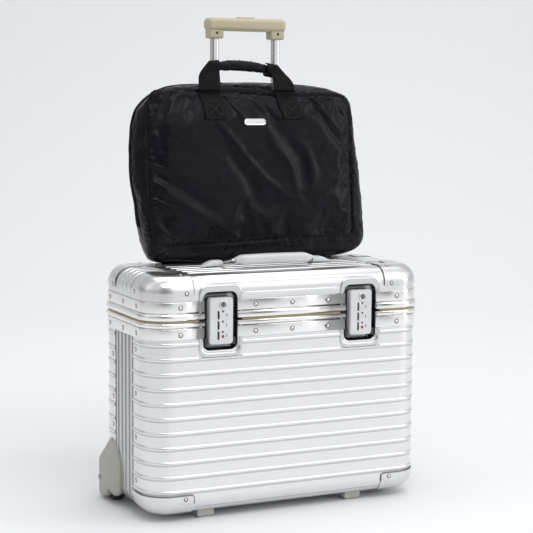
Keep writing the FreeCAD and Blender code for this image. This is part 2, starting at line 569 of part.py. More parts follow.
def soft_bag():
    """Padded nylon bag that stands on the lid and leans towards the tubes."""
    hull = leaned(slab(BAG_HALF, CASE_TOP - 4, BAG_SLAB_TOP, BAG_FRONT, BAG_BACK, 40.0, 14.0))
    hull = hull.cut(box(-300, 300, -50, 200, 300, BAG_FOOT))
    save("bag_shell", hull)
    panel = leaned(slab(183.0, 396, 646, BAG_FRONT - 5, BAG_FRONT + 12, 34.0, 4.0))
    save("bag_front_panel", panel.cut(hull))
    badge = leaned(rounded_block(-21, 21, BAG_FRONT - 7.4, BAG_FRONT - 5.1, 588, 599, 1.0))
    save("bag_badge", badge)
    tape = leaned(box(-150, 150, BAG_FRONT + 22, BAG_FRONT + 34, BAG_SLAB_TOP, BAG_SLAB_TOP + 1.2))
    save("bag_zip", tape)
    for side, x in (("left", -62.0), ("right", -42.0)):
        front, low = BAG_FRONT + 24, BAG_SLAB_TOP
        slider = fuse([box(x - 5, x + 5, front, front + 8, low + 1.3, low + 5.0),
                       box(x - 2.5, x + 2.5, front - 1.6, front, low + 1.6, low + 4)])
        save(f"zip_slider_{side}", leaned(slider))
    handle = [rounded_block(-94, 76, BAG_FRONT, BAG_FRONT + 14, HANDLE_TOP - 17, HANDLE_TOP, 5.0)]
    patches = []
    for x in STRAP_XS:
        handle.append(box(x - 19, x + 19, BAG_FRONT + 3, BAG_FRONT + 7, BAG_SLAB_TOP + 0.4, HANDLE_TOP - 12))
        patches.append(leaned(box(x - 19, x + 19, BAG_FRONT - 7.0, BAG_FRONT - 5.1, 600, 640)))
    save("bag_handle", leaned(fuse(handle)))
    save("bag_strap_patches", group(patches))
    back = leaned(box(-78 + TUBE_X, 78 + TUBE_X, BAG_BACK, BAG_BACK + 0.1, 430, 560)).BoundBox
    front_y = back.YMax + 1.2
    x0, x1 = TUBE_X - 80, TUBE_X + 80
    back_y = SLEEVE_BACK_Y
    sleeve = [box(x0, x0 + 2, front_y + 2, back_y - 2, 440, 540),
              box(x1 - 2, x1, front_y + 2, back_y - 2, 440, 540),
              box(x0, x1, back_y - 2, back_y, 440, 540),
              box(x0, x1, front_y, front_y + 2, 440, 540)]
    save("bag_sleeve", group(sleeve))


body_sheets()
body_center_sheet()
frames()
rivets()
corner_caps()
feet()
latch_dishes()
hinges()
linings()
lid_shell()
carry_handle()
latches()
wheels()
telescopic_handle()
soft_bag()
print(len(os.listdir("parts")), "nodes")
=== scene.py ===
"""Looks of the aluminium pilot's case and the soft bag on its lid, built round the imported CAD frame.

Lengths are in metres. Helpers that take millimetres say so.
"""
import contextlib
import math
import bmesh
import bpy
from mathutils import Matrix, Vector, noise
from mathutils.bvhtree import BVHTree


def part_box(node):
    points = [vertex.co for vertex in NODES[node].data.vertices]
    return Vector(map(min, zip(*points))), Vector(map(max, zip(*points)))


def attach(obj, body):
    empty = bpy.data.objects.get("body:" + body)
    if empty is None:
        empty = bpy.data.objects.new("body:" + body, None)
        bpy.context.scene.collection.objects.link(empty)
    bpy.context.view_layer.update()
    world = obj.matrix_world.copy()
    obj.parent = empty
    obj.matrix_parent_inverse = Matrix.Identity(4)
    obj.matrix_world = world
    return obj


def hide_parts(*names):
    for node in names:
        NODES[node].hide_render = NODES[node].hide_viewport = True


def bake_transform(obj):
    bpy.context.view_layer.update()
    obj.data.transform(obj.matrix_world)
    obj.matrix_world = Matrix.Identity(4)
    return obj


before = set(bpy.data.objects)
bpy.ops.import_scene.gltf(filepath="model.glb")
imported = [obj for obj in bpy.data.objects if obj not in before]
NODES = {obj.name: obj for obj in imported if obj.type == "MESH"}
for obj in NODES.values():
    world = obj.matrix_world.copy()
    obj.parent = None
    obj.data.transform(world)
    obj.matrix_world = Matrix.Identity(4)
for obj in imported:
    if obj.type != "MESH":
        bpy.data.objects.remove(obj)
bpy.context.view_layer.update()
MM = 0.001
SEED = 7

# ---- sizes shared with the CAD model, in millimetres ----
CASE_HALF_X, CASE_HALF_Y, CORNER_R = 235.0, 105.35, 43.5
CASE_TOP, EDGE_R = 376.0, 25.0
RIB_TOP, RIB_PITCH = 273.8, 22.47
END_RIB_PITCH = 16.0
BAG_FRONT, BAG_THICK, BAG_LEAN = 21.0, 54.0, math.radians(6.3)
LATCH_X = 119.5
ROW_Y = -19.325          # from the middle of the case to the row's origin
SIDES = (("left", -1), ("right", 1))
BLACK, WHITE = (0, 0, 0), (1, 1, 1)


# ---- camera, lights and floor ----
# the camera that fits the photo; the sweep stands square to its yaw
YAW, PITCH, ROLL = math.radians(25.437), math.radians(6.538), math.radians(0.424)
LENS, CAMERA_PLACE = 102.06, Vector((-1.0236, -2.1655 + ROW_Y * MM, 0.6471))
SWEEP_START, SWEEP_R, SWEEP_TOP, SWEEP_HALF = 1.9, 2.6, 6.5, 7.0
SKY_STRENGTH = 1.30
# colour from the horizon up to the zenith
SKY_HEIGHTS = ((0.0, (0.55, 0.55, 0.55825)), (0.20, (0.70, 0.70, 0.7105)), (0.42, (1.15, 1.15, 1.16725)),
               (0.70, (1.0, 1.0, 1.015)), (1.0, (1.0, 1.0, 1.0)))
# brightness round the horizon, by share of a turn: from behind the left end, by way of the front
SKY_SECTORS = ((0.0, 0.58), (0.06, 0.58), (0.115, 0.5), (0.17, 0.16), (0.235, 0.34), (0.285, 1.12),
               (0.37, 1.14), (0.45, 0.55), (0.56, 0.85), (0.70, 0.60), (0.82, 0.42), (0.92, 0.40), (1.0, 1.0))


def new_object(name, data):
    """Object linked to the scene."""
    obj = bpy.data.objects.new(name, data)
    bpy.context.scene.collection.objects.link(obj)
    return obj


def make_camera():
    forward = Vector((math.sin(YAW) * math.cos(PITCH), math.cos(YAW) * math.cos(PITCH), -math.sin(PITCH)))
    right = Vector((math.cos(YAW), -math.sin(YAW), 0.0))
    up = right.cross(forward)
    level_right = right * math.cos(ROLL) + up * math.sin(ROLL)
    level_up = up * math.cos(ROLL) - right * math.sin(ROLL)
    data = bpy.data.cameras.new("camera")
    data.sensor_width = 36.0
    data.lens = LENS
    cam = new_object("camera", data)
    turn = Matrix((level_right, level_up, -forward)).transposed().to_4x4()
    cam.matrix_world = Matrix.Translation(CAMERA_PLACE) @ turn
    bpy.context.scene.camera = cam

def area_light(name, spot, target, size, power):
    data = bpy.data.lights.new(name, "AREA")
    data.shape = "RECTANGLE"
    data.size, data.size_y = size
    data.energy = power
    light = new_object(name, data)
    light.location = spot
    light.rotation_euler = (Vector(target) - Vector(spot)).to_track_quat("-Z", "Y").to_euler()


def make_studio():
    """White sweep behind the object, a bright ceiling, darker surroundings to the left and behind."""
    scene = bpy.context.scene
    scene.view_settings.view_transform = "Standard"
    scene.world = bpy.data.worlds.new("studio")
    scene.world.use_nodes = True
    tree = scene.world.node_tree
    coords = add(tree, "ShaderNodeTexCoord").outputs["Generated"]
    height = ramp_node(tree, axis_node(tree, coords, "Z"), *SKY_HEIGHTS)
    around = add(tree, "ShaderNodeTexGradient", gradient_type="RADIAL")
    tree.links.new(coords, around.inputs["Vector"])
    sectors = ramp_node(tree, around.outputs["Fac"], *[(spot, (level,) * 3) for spot, level in SKY_SECTORS])
    sideways = add(tree, "ShaderNodeSeparateColor")
    tree.links.new(sectors, sideways.inputs[0])
    product = add(tree, "ShaderNodeVectorMath", operation="SCALE")
    tree.links.new(height, product.inputs[0])
    tree.links.new(sideways.outputs[0], product.inputs["Scale"])
    back = tree.nodes["Background"]
    tree.links.new(product.outputs["Vector"], back.inputs["Color"])
    back.inputs["Strength"].default_value = SKY_STRENGTH
    area_light("key", (-0.5, -1.9, 2.6), (0, 0, 0.3), (1.8, 0.7), 22)
    area_light("side_strip", (2.3, -1.5, 1.1), (0, 0, 0.35), (0.5, 1.8), 13)
    area_light("top", (0.1, 0.3, 2.7), (0, 0, 0.3), (2.2, 1.2), 17)
    area_light("wall", (0.9, 1.0, 2.4), (1.9, 3.6, 1.2), (2.6, 1.0), 15)
    profile = [(-SWEEP_HALF, 0.0), (SWEEP_START, 0.0)]
    profile += [(SWEEP_START + SWEEP_R * s, SWEEP_R * (1 - c)) for c, s in arc(0, 90, 24)[1:]]
    profile.append((SWEEP_START + SWEEP_R, SWEEP_TOP))
    points = [(math.sin(YAW) * along + math.cos(YAW) * side, math.cos(YAW) * along - math.sin(YAW) * side, up)
              for along, up in profile for side in (-SWEEP_HALF, SWEEP_HALF)]
    faces = [(2 * k, 2 * k + 1, 2 * k + 3, 2 * k + 2) for k in range(len(profile) - 1)]
    sweep = linked_mesh("sweep", points, faces)
    for face in sweep.data.polygons:
        face.use_smooth = True
    sweep.data.materials.append(plain("sweep_paper", (0.80, 0.81, 0.82), 0.9))


# ---- materials ----
def new_material(name):
    mat = bpy.data.materials.new(name)
    mat.use_nodes = True
    return mat, mat.node_tree, mat.node_tree.nodes["Principled BSDF"]

def plain(name, colour, roughness):
    mat, _, shader = new_material(name)
    shader.inputs["Base Color"].default_value = (*colour, 1)
    shader.inputs["Roughness"].default_value = roughness
    return mat

def add(tree, kind, **values):
    node = tree.nodes.new(kind)
    for key, value in values.items():
        setattr(node, key, value)
    return node

def maths(tree, operation, a, b):
    """Sum, product and the like of an output and of another output or a number."""
    node = add(tree, "ShaderNodeMath", operation=operation)
    tree.links.new(a, node.inputs[0])
    if isinstance(b, float):
        node.inputs[1].default_value = b
    else:
        tree.links.new(b, node.inputs[1])
    return node.outputs[0]


def axis_node(tree, coords, axis):
    node = add(tree, "ShaderNodeSeparateXYZ")
    tree.links.new(coords, node.inputs[0])
    return node.outputs[axis]


def object_coords(tree):
    return add(tree, "ShaderNodeTexCoord").outputs["Object"]


def noise_node(tree, scale, detail=3.0, stretch=(1, 1, 1), rough=0.5):
    """Noise in object space; stretch above 1 makes it finer along that axis."""
    mapping = add(tree, "ShaderNodeMapping")
    mapping.inputs["Scale"].default_value = stretch
    tree.links.new(object_coords(tree), mapping.inputs["Vector"])
    node = add(tree, "ShaderNodeTexNoise")
    for socket, number in (("Scale", scale), ("Detail", detail), ("Roughness", rough)):
        node.inputs[socket].default_value = number
    tree.links.new(mapping.outputs["Vector"], node.inputs["Vector"])
    return node.outputs["Fac"]

def ramp_node(tree, value, *stops):
    """Colour by value, from (position, colour) pairs in order."""
    node = add(tree, "ShaderNodeValToRGB")
    elements = node.color_ramp.elements
    for element, (spot, colour) in zip(elements, (stops[0], stops[-1])):
        element.position = spot
        element.color = (*colour, 1)
    for spot, colour in stops[1:-1]:
        elements.new(spot).color = (*colour, 1)
    tree.links.new(value, node.inputs["Fac"])
    return node.outputs["Color"]

def range_node(tree, value, out=(0.0, 1.0), span=(0.0, 1.0), kind="LINEAR"):
    """The value's span mapped onto out."""
    node = add(tree, "ShaderNodeMapRange", interpolation_type=kind)
    for socket, number in zip(("To Min", "To Max", "From Min", "From Max"), (*out, *span)):
        node.inputs[socket].default_value = number
    tree.links.new(value, node.inputs["Value"])
    return node.outputs["Result"]

def bump_node(tree, height, shader, strength, distance, before=None):
    node = add(tree, "ShaderNodeBump")
    node.inputs["Strength"].default_value = strength
    node.inputs["Distance"].default_value = distance
    tree.links.new(height, node.inputs["Height"])
    if before is not None:
        tree.links.new(before, node.inputs["Normal"])
    tree.links.new(node.outputs["Normal"], shader.inputs["Normal"])
    return node.outputs["Normal"]

def rib_shadow_mask(tree, axis, first, pitch, low, high):
    """1 in the creases beside evenly spaced ribs, where painted shade goes, 0 elsewhere.

    All in millimetres: the first rib, the ribs' pitch, and a crease's two edges measured from its rib.
    """
    shifted = maths(tree, "SUBTRACT", axis_node(tree, object_coords(tree), axis), (first - pitch / 2) * MM)
    away = maths(tree, "SUBTRACT", maths(tree, "FLOORED_MODULO", shifted, pitch * MM), pitch / 2 * MM)
    wide = high - low
    near = range_node(tree, away, span=(high * MM, low * MM), kind="SMOOTHSTEP")
    far = range_node(tree, away, span=((low - wide * 2.2) * MM, (low - wide * 0.3) * MM), kind="SMOOTHSTEP")
    return maths(tree, "MULTIPLY", near, far)

def mixed(tree, mask, under, over, amount):
    """Colour 'under' with colour 'over' on top where the mask is high."""
    mix = add(tree, "ShaderNodeMix", data_type="RGBA")
    tree.links.new(maths(tree, "MULTIPLY", mask, amount), mix.inputs[0])
    tree.links.new(under, mix.inputs[6])
    mix.inputs[7].default_value = (*over, 1)
    return mix.outputs[2]

def shade(colour, share):
    return tuple(min(1.0, c * share) for c in colour)


def metal(name, colour, rough=(0.24, 0.42), stretch=(6, 6, 220), scale=6.0, dirt=None, dents=0.05,
          rib_shadow=None, crevice_shade=(0.005, 0.9), painted_shade=None, rib_shadow_strength=0.6):
    """Satin metal: brushing along one axis, clouded roughness, faint dents and painted shade darkening its
    recesses.

    The reach of that painted shade in metres and its strength come as one pair, and its colour may be given.
    Dirt spots and painted shade in the creases beside ribs are extra.
    """
    mat, tree, shader = new_material(name)
    shader.inputs["Metallic"].default_value = 1.0
    brush = noise_node(tree, scale, 4, stretch)
    cloud = noise_node(tree, 7.0, 3)
    tint = ramp_node(tree, brush, (0.3, shade(colour, 0.93)), (0.72, colour))
    if dirt:
        spots = noise_node(tree, 70.0, 6, rough=0.7)
        tint = mixed(tree, ramp_node(tree, spots, (0.60, BLACK), (0.74, WHITE)), tint, dirt, 0.35)
    # painted shade: the base colour is darkened where ambient occlusion finds recesses
    ao_node = add(tree, "ShaderNodeAmbientOcclusion", samples=6)
    ao_node.inputs["Distance"].default_value = crevice_shade[0]
    crevice_shade_mask = range_node(tree, ao_node.outputs["AO"], span=(0.78, 0.25))
    tint = mixed(tree, crevice_shade_mask, tint, painted_shade or shade(colour, 0.22), crevice_shade[1])
    # painted shade: darker base colour in the creases beside the ribs
    if rib_shadow:
        tint = mixed(tree, rib_shadow_mask(tree, *rib_shadow), tint, shade(colour, 0.42), rib_shadow_strength)
    scratch = ramp_node(tree, noise_node(tree, 30.0, 6, (1, 1, 26), 0.75), (0.70, BLACK), (0.74, WHITE))
    tree.links.new(mixed(tree, scratch, tint, shade(colour, 1.15), 0.35), shader.inputs["Base Color"])
    mean = maths(tree, "MULTIPLY", maths(tree, "ADD", brush, cloud), 0.5)
    tree.links.new(range_node(tree, mean, rough), shader.inputs["Roughness"])
    first = bump_node(tree, noise_node(tree, 5.0, 1), shader, dents, 0.004)
    bump_node(tree, brush, shader, 0.05, 0.0003, first)
    return mat

def plastic(name, colour, rough=0.45, grain=1200.0, depth=0.12, wear=None):
    """Moulded plastic: fine grain, slightly uneven colour and scuffs."""
    mat, tree, shader = new_material(name)
    cloud = noise_node(tree, 18.0, 4)
    tree.links.new(ramp_node(tree, cloud, (0.35, colour), (0.8, wear or shade(colour, 1.12))),
                   shader.inputs["Base Color"])
    scuffs = noise_node(tree, 90.0, 5, (1, 1, 3))
    tree.links.new(range_node(tree, scuffs, (rough - 0.08, rough + 0.12)), shader.inputs["Roughness"])
    bump_node(tree, noise_node(tree, grain, 2), shader, depth, 0.0003)
    return mat

def cloth_weave(name, colour, pale, rough, pitch, strength, sheen=0.05, gloss=0.3):
    """Woven cloth: crossed threads at the given pitch in metres, with soft colour change in patches."""
    mat, tree, shader = new_material(name)
    coords = object_coords(tree)
    waves = []
    for axis in ("X", "Z"):
        wave = add(tree, "ShaderNodeTexWave", wave_type="BANDS", bands_direction=axis)
        for socket, number in (("Scale", 0.314 / pitch), ("Distortion", 0.6), ("Detail", 1.0)):
            wave.inputs[socket].default_value = number
        tree.links.new(coords, wave.inputs["Vector"])
        waves.append(wave.outputs["Fac"])
    cloud = noise_node(tree, 22.0, 5)
    tree.links.new(ramp_node(tree, cloud, (0.3, colour), (0.75, pale)), shader.inputs["Base Color"])
    tree.links.new(range_node(tree, cloud, (rough - 0.06, rough + 0.08)), shader.inputs["Roughness"])
    for socket, number in (("Sheen Weight", sheen), ("Sheen Roughness", 0.4), ("Specular IOR Level", gloss)):
        shader.inputs[socket].default_value = number
    first = bump_node(tree, noise_node(tree, 70.0, 4), shader, 0.25, 0.0012)
    bump_node(tree, maths(tree, "MULTIPLY", *waves), shader, strength, pitch * 0.4, first)
    return mat

MAT = {}

def make_materials():
    # painted shade: every metal below is darkened in its recesses, and the ribbed sheets also in the creases
    # beside their ribs
    MAT["sheet"] = metal("aluminium_sheet", (0.83, 0.835, 0.845), (0.24, 0.34), (5, 5, 160),
                         rib_shadow=("Z", RIB_TOP, RIB_PITCH, -3.4, -2.5))
    # painted shade: the end sheet is the front's aluminium given a darker base colour, for the ends turned
    # from the light
    MAT["end_sheet"] = metal("aluminium_end_sheet_painted_darker", (0.62, 0.625, 0.63), (0.24, 0.34), (5, 160, 5),
                             rib_shadow=("Y", ROW_Y, END_RIB_PITCH, -3.6, -2.2), crevice_shade=(0.003, 0.2),
                             rib_shadow_strength=0.28)
    MAT["lid_sheet"] = metal("aluminium_lid_sheet", (0.80, 0.805, 0.815), (0.25, 0.34), (2, 40, 40), 3.0,
                             crevice_shade=(0.004, 0.8))
    # painted shade in the frame's recesses, tinted golden brown like the worn frame's own dirt there
    MAT["frame"] = metal("aluminium_frame", (0.90, 0.90, 0.89), (0.16, 0.26), (3, 3, 300),
                         dirt=(0.40, 0.35, 0.27), crevice_shade=(0.0035, 0.95), painted_shade=(0.24, 0.17, 0.09))
    MAT["cap"] = metal("corner_cap", (0.78, 0.785, 0.795), (0.23, 0.31), (12, 12, 12), 3.0, dents=0.06)
    # painted shade: the dish's well is darkened nearly black by recess shading that reaches 17 mm
    MAT["dish"] = metal("latch_dish", (0.66, 0.67, 0.685), (0.20, 0.30), (3, 3, 120), crevice_shade=(0.017, 0.95),
                        painted_shade=(0.012, 0.012, 0.013))
    MAT["pocket"] = plastic("pocket_shadow_paint", (0.035, 0.036, 0.038), 0.5, 700, 0.05)
    MAT["rivet"] = metal("rivet", (0.70, 0.69, 0.67), (0.08, 0.16), (60, 60, 60), crevice_shade=(0.002, 0.8))
    # painted shadow: dark rings laid round the rivet heads
    MAT["painted_shade"] = plastic("painted_rivet_shadow", (0.055, 0.045, 0.035), 0.6, 900, 0.2)
    # dark metal: the key cylinders' own colour, and painted shade along the corner caps' edges
    MAT["cap_edge"] = metal("cap_edge", (0.26, 0.26, 0.265), (0.25, 0.35), (12, 12, 12), 3.0)
    MAT["steel"] = metal("plated_steel", (0.62, 0.62, 0.63), (0.18, 0.34), (40, 40, 200))
    MAT["chrome"] = metal("chrome", (0.80, 0.80, 0.81), (0.08, 0.18), (60, 60, 60), dents=0.03)
    MAT["tube"] = metal("drawn_tube", (0.78, 0.785, 0.795), (0.14, 0.24), (260, 260, 2))
    MAT["latch"] = plastic("latch_enamel", (0.60, 0.61, 0.63), 0.34, 900, 0.05)
    MAT["black"] = plastic("black_plastic", (0.012, 0.012, 0.013), 0.4, 900, 0.1)
    MAT["red"] = plastic("red_mark", (0.45, 0.01, 0.012), 0.4)
    MAT["housing"] = plastic("warm_grey_housing", (0.37, 0.375, 0.33), 0.44, 700, 0.18, (0.42, 0.42, 0.38))
    MAT["tyre"] = plastic("tyre_rubber", (0.012, 0.012, 0.013), 0.62, 500, 0.3)
    MAT["foot"] = plastic("foot_plastic", (0.42, 0.42, 0.40), 0.5)
    MAT["grip"] = plastic("beige_grip", (0.42, 0.37, 0.25), 0.42, 500, 0.15, (0.48, 0.43, 0.31))
    MAT["silver"] = plastic("silver_grip", (0.56, 0.57, 0.58), 0.32, 600, 0.06)
    MAT["clamp"] = plastic("clamp_plastic", (0.30, 0.30, 0.28), 0.5)
    MAT["seal"] = plastic("frame_seal", (0.42, 0.33, 0.19), 0.6)
    MAT["lining"] = cloth_weave("lining_cloth", (0.03, 0.032, 0.04), (0.05, 0.05, 0.06), 0.85, 0.0012, 0.5)
    MAT["nylon"] = cloth_weave("nylon", (0.0030, 0.0033, 0.0060), (0.0045, 0.005, 0.0095), 0.27, 0.0009, 0.12,
                               sheen=0.0, gloss=0.125)
    MAT["webbing"] = cloth_weave("webbing", (0.004, 0.004, 0.0045), (0.006, 0.006, 0.0065), 0.6, 0.0022, 0.6,
                                 sheen=0.0, gloss=0.1)
    MAT["thread"] = cloth_weave("sewing_thread", (0.010, 0.010, 0.011), (0.016, 0.016, 0.018), 0.5, 0.0008,
                                0.5, sheen=0.0, gloss=0.3)
    MAT["zip"] = cloth_weave("zip_tape", (0.004, 0.004, 0.005), (0.006, 0.006, 0.007), 0.5, 0.0014, 0.5,
                             sheen=0.0, gloss=0.15)

# looks of the CAD nodes that stay in view
CAD_LOOKS = {
    "sheet": ("body_front_sheet", "body_back_sheet"),
    "end_sheet": ("body_center_sheet",),
    "lid_sheet": ("lid_shell",),
    "cap": ("base_corner_caps", "lid_corner_caps"),
    "rivet": ("body_rivets", "lid_rivets"),
    "steel": ("hinge_body_leaves", "hinge_lid_leaves", "hinge_pins", "latch_keepers", "wheel_axles",
              "housing_screws", "latch_left_dial_shafts", "latch_right_dial_shafts", "carry_handle_bail"),
    "pocket": ("latch_pivots",),
    "cap_edge": ("latch_left_key_cylinder", "latch_right_key_cylinder"),
    "tube": ("trolley_guide_tubes", "trolley_middle_tubes", "trolley_inner_tubes"),
    "latch": ("latch_left_body", "latch_right_body"),
    "black": ("wheel_left_hub", "wheel_right_hub", "zip_slider_left", "zip_slider_right",
              "trolley_grip_rivets"),
    "tyre": ("wheel_left_tyre", "wheel_right_tyre"),
    "foot": ("front_feet",),
    "grip": ("trolley_grip", "trolley_grip_button"),
    "clamp": ("trolley_clamps",),
    "seal": ("frame_seal",),
    "lining": ("body_lining", "lid_lining"),
}

def paint_cad_nodes():
    looks = {node: look for look, names in CAD_LOOKS.items() for node in names}
    for name, obj in NODES.items():
        look = looks.get(name, "black" if "_dial_" in name else None)
        if look:
            obj.data.materials.clear()
            obj.data.materials.append(MAT[look])


# ---- mesh helpers ----
@contextlib.contextmanager
def edited(obj):
    """The object's mesh as a bmesh, written back at the end."""
    bm = bmesh.new()
    bm.from_mesh(obj.data)
    yield bm
    bm.to_mesh(obj.data)
    bm.free()


def linked_mesh(name, points, faces):
    mesh = bpy.data.meshes.new(name)
    mesh.from_pydata([tuple(p) for p in points], [], faces)
    return new_object(name, mesh)


def dress(obj, look, body):
    """Gives a piece its material and, if one is given, its body."""
    obj.data.materials.append(MAT[look])
    if body:
        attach(obj, body)
    return obj


def mesh_object(name, points, faces, look, body, slot):
    """Smooth-shaded piece from points in metres; a body of None leaves it to ride later."""
    obj = linked_mesh(name, points, faces)
    obj.data.validate()
    obj.data.update()
    with edited(obj) as bm:
        bmesh.ops.recalc_face_normals(bm, faces=bm.faces)
    for face in obj.data.polygons:
        face.use_smooth = True
    return dress(obj, look, body)


def arc(start, end, steps):
    """Cosine and sine along an arc, from angles in degrees, with both ends."""
    turns = [math.radians(start + (end - start) * k / steps) for k in range(steps + 1)]
    return [(math.cos(turn), math.sin(turn)) for turn in turns]


def circle(count):
    """Cosine and sine at evenly spaced turns."""
    return arc(0, 360, count)[:-1]


def loft(rings, closed_ring=True, cap=True):
    """Points and faces of a skin over rings of equal length, capped with fans at both ends."""
    count = len(rings[0])
    points = [p for ring in rings for p in ring]
    faces = []
    for level in range(len(rings) - 1):
        for k in range(count if closed_ring else count - 1):
            a, b = level * count + k, level * count + (k + 1) % count
            faces.append((a, b, b + count, a + count))
    if cap:
        for ring, start in ((rings[0], 0), (rings[-1], (len(rings) - 1) * count)):
            centre = len(points)
            points.append(sum((Vector(p) for p in ring), Vector()) / count)
            faces += [(start + k, start + (k + 1) % count, centre) for k in range(count)]
    return points, faces

def smooth_curve(points, steps=12, closed=True):
    """Catmull-Rom curve through points of any dimension."""
    points = [Vector(p) for p in points]
    count = len(points)
    spans = count if closed else count - 1
    out = []
    for k in range(spans):
        if closed:
            a, b, c, d = (points[(k + j) % count] for j in (-1, 0, 1, 2))
        else:
            a, b = points[max(k - 1, 0)], points[k]
            c, d = points[k + 1], points[min(k + 2, count - 1)]
        for step in range(steps):
            t = step / steps
            out.append(0.5 * ((2 * b) + (c - a) * t + (2 * a - 5 * b + 4 * c - d) * t * t
                              + (3 * b - a - 3 * c + d) * t ** 3))
    if not closed:
        out.append(points[-1])
    return out

def evenly(points, count, closed=True):
    """The curve again, as count points evenly spaced along it."""
    points = list(points) + ([points[0]] if closed else [])
    lengths = [0.0]
    for a, b in zip(points, points[1:]):
        lengths.append(lengths[-1] + (b - a).length)
    out, at = [], 0
    for k in range(count):
        want = lengths[-1] * k / (count if closed else count - 1)
        while at < len(points) - 2 and lengths[at + 1] < want:
            at += 1
        span = lengths[at + 1] - lengths[at]
        out.append(points[at].lerp(points[at + 1], (want - lengths[at]) / span if span else 0.0))
    return out

def apply_modifiers(obj):
    """Bakes the modifiers into the mesh."""
    depsgraph = bpy.context.evaluated_depsgraph_get()
    mesh = bpy.data.meshes.new_from_object(obj.evaluated_get(depsgraph))
    obj.modifiers.clear()
    old = obj.data
    obj.data = mesh
    mesh.name = obj.name
    bpy.data.meshes.remove(old)
    for face in mesh.polygons:
        face.use_smooth = True

def thicken(obj, thickness):
    """Turns a finished skin into a wall of a thickness in metres."""
    obj.modifiers.new("thickness", "SOLIDIFY").thickness = thickness
    apply_modifiers(obj)


def subdivide(obj):
    modifier = obj.modifiers.new("subdivision", "SUBSURF")
    modifier.levels = modifier.render_levels = 1
    apply_modifiers(obj)

def settle_cloth(obj, pinned, pressure, growth, frames, cap):
    """Cloth simulation without gravity, with chosen points held still; growth above 0 makes slack cloth."""
    group = obj.vertex_groups.new(name="held")
    group.add(pinned, 1.0, "REPLACE")
    start = [v.co.copy() for v in obj.data.vertices]
    modifier = obj.modifiers.new("cloth", "CLOTH")
    cloth = modifier.settings
    cloth.quality = 5
    cloth.mass = 0.2
    cloth.tension_stiffness = cloth.compression_stiffness = 18
    cloth.shear_stiffness = 8
    cloth.bending_stiffness = 0.4
    cloth.use_pressure = True
    cloth.uniform_pressure_force = pressure
    cloth.vertex_group_mass = "held"
    cloth.shrink_min = -growth
    cloth.effector_weights.gravity = 0.0
    modifier.collision_settings.use_collision = False
    modifier.point_cache.frame_start, modifier.point_cache.frame_end = 1, frames
    scene = bpy.context.scene
    for step in range(1, frames + 1):
        scene.frame_set(step)
    apply_modifiers(obj)
    scene.frame_set(1)
    for vertex, before in zip(obj.data.vertices, start):
        moved = vertex.co - before
        if moved.length > cap:
            vertex.co = before + moved * (cap / moved.length)


# ---- soft bag ----
BAG_PIVOT_Y = BAG_FRONT + BAG_THICK / 2
BAG_MIDDLE = Vector((0.0, 145.0))
# widest outline of the bag and the line of its front seam, as x and height above the lid
BAG_OUTLINE = [(-120, 1.8), (0, 1.8), (123, 2.5), (170, 6), (196, 15), (208, 29), (209, 62), (206, 111),
               (202, 153), (197, 186), (193, 224), (190, 252), (183, 266), (166, 275), (130, 284),
               (39, 288), (-24, 288), (-68, 287), (-112, 284), (-142, 278), (-166, 265), (-182, 250),
               (-191, 229), (-196, 197), (-198, 176), (-197, 140), (-193, 101), (-187, 61), (-180, 27),
               (-166, 7)]
SEAM_OUTLINE = [(-150, 30), (-90, 30), (0, 34), (90, 36), (160, 35), (176, 41), (178.5, 60), (178.5, 140),
                (178, 220), (176, 254), (166, 267), (130, 269), (60, 267), (0, 272), (-60, 270),
                (-110, 273), (-160, 275), (-176, 268), (-179.5, 245), (-180, 180), (-180, 100), (-180, 52),
                (-172, 36)]
BACK_OUTLINE = [(-150, 8), (0, 7), (150, 8), (180, 20), (186, 60), (184, 140), (180, 230), (172, 264),
                (120, 277), (0, 280), (-120, 276), (-168, 262), (-183, 230), (-186, 140), (-178, 50),
                (-168, 18)]
GUSSET = [(0.0, 0.0), (2.0, 0.30), (6.0, 0.55), (12.0, 0.78), (19.0, 0.93), (27.0, 1.0), (36.0, 0.98),
          (44.0, 0.86), (50.0, 0.6), (54.0, 0.0)]
STRAPS = (-78.0, 60.0)
BADGE_HEIGHT = 222.5

def bag_place(x, depth, height):
    """World point from the bag's own millimetres: across, back from the front seam, up from the lid."""
    y = BAG_FRONT + depth - BAG_PIVOT_Y
    turned_y = y * math.cos(BAG_LEAN) + height * math.sin(BAG_LEAN)
    turned_z = height * math.cos(BAG_LEAN) - y * math.sin(BAG_LEAN)
    return Vector((x, BAG_PIVOT_Y + turned_y + ROW_Y, CASE_TOP + turned_z)) * MM

# direction from the front of the bag to its back
TOWARD_BACK = (bag_place(0, 10, 100) - bag_place(0, 0, 100)).normalized()


def bag_local(point):
    """The bag's own millimetres from a world point."""
    x, y, z = (c / MM for c in point)
    y, z = y - BAG_PIVOT_Y - ROW_Y, z - CASE_TOP
    depth = y * math.cos(BAG_LEAN) - z * math.sin(BAG_LEAN) + BAG_PIVOT_Y - BAG_FRONT
    return x, depth, y * math.sin(BAG_LEAN) + z * math.cos(BAG_LEAN)

def bearing(x, y):
    """Direction from the bag's middle; heights count for more, as the bag is wider than it is high."""
    return math.atan2(y / 0.7, x)


def radius_by_angle(outline, samples=720):
    """Distance from the bag's middle to an outline, by direction."""
    table = [None] * samples
    for p in evenly(smooth_curve(outline, 20), 3000):
        way = p - BAG_MIDDLE
        table[int((bearing(way.x, way.y) + math.pi) / math.tau * samples) % samples] = way.length
    for _ in range(40):
        for k in range(samples):
            if table[k] is None:
                table[k] = table[k - 1] or table[(k + 1) % samples]
    return table

def at_angle(table, angle):
    spot = ((angle + math.pi) / math.tau * len(table)) % len(table)
    low = int(spot) % len(table)
    return table[low] * (1 - spot % 1) + table[(low + 1) % len(table)] * (spot % 1)


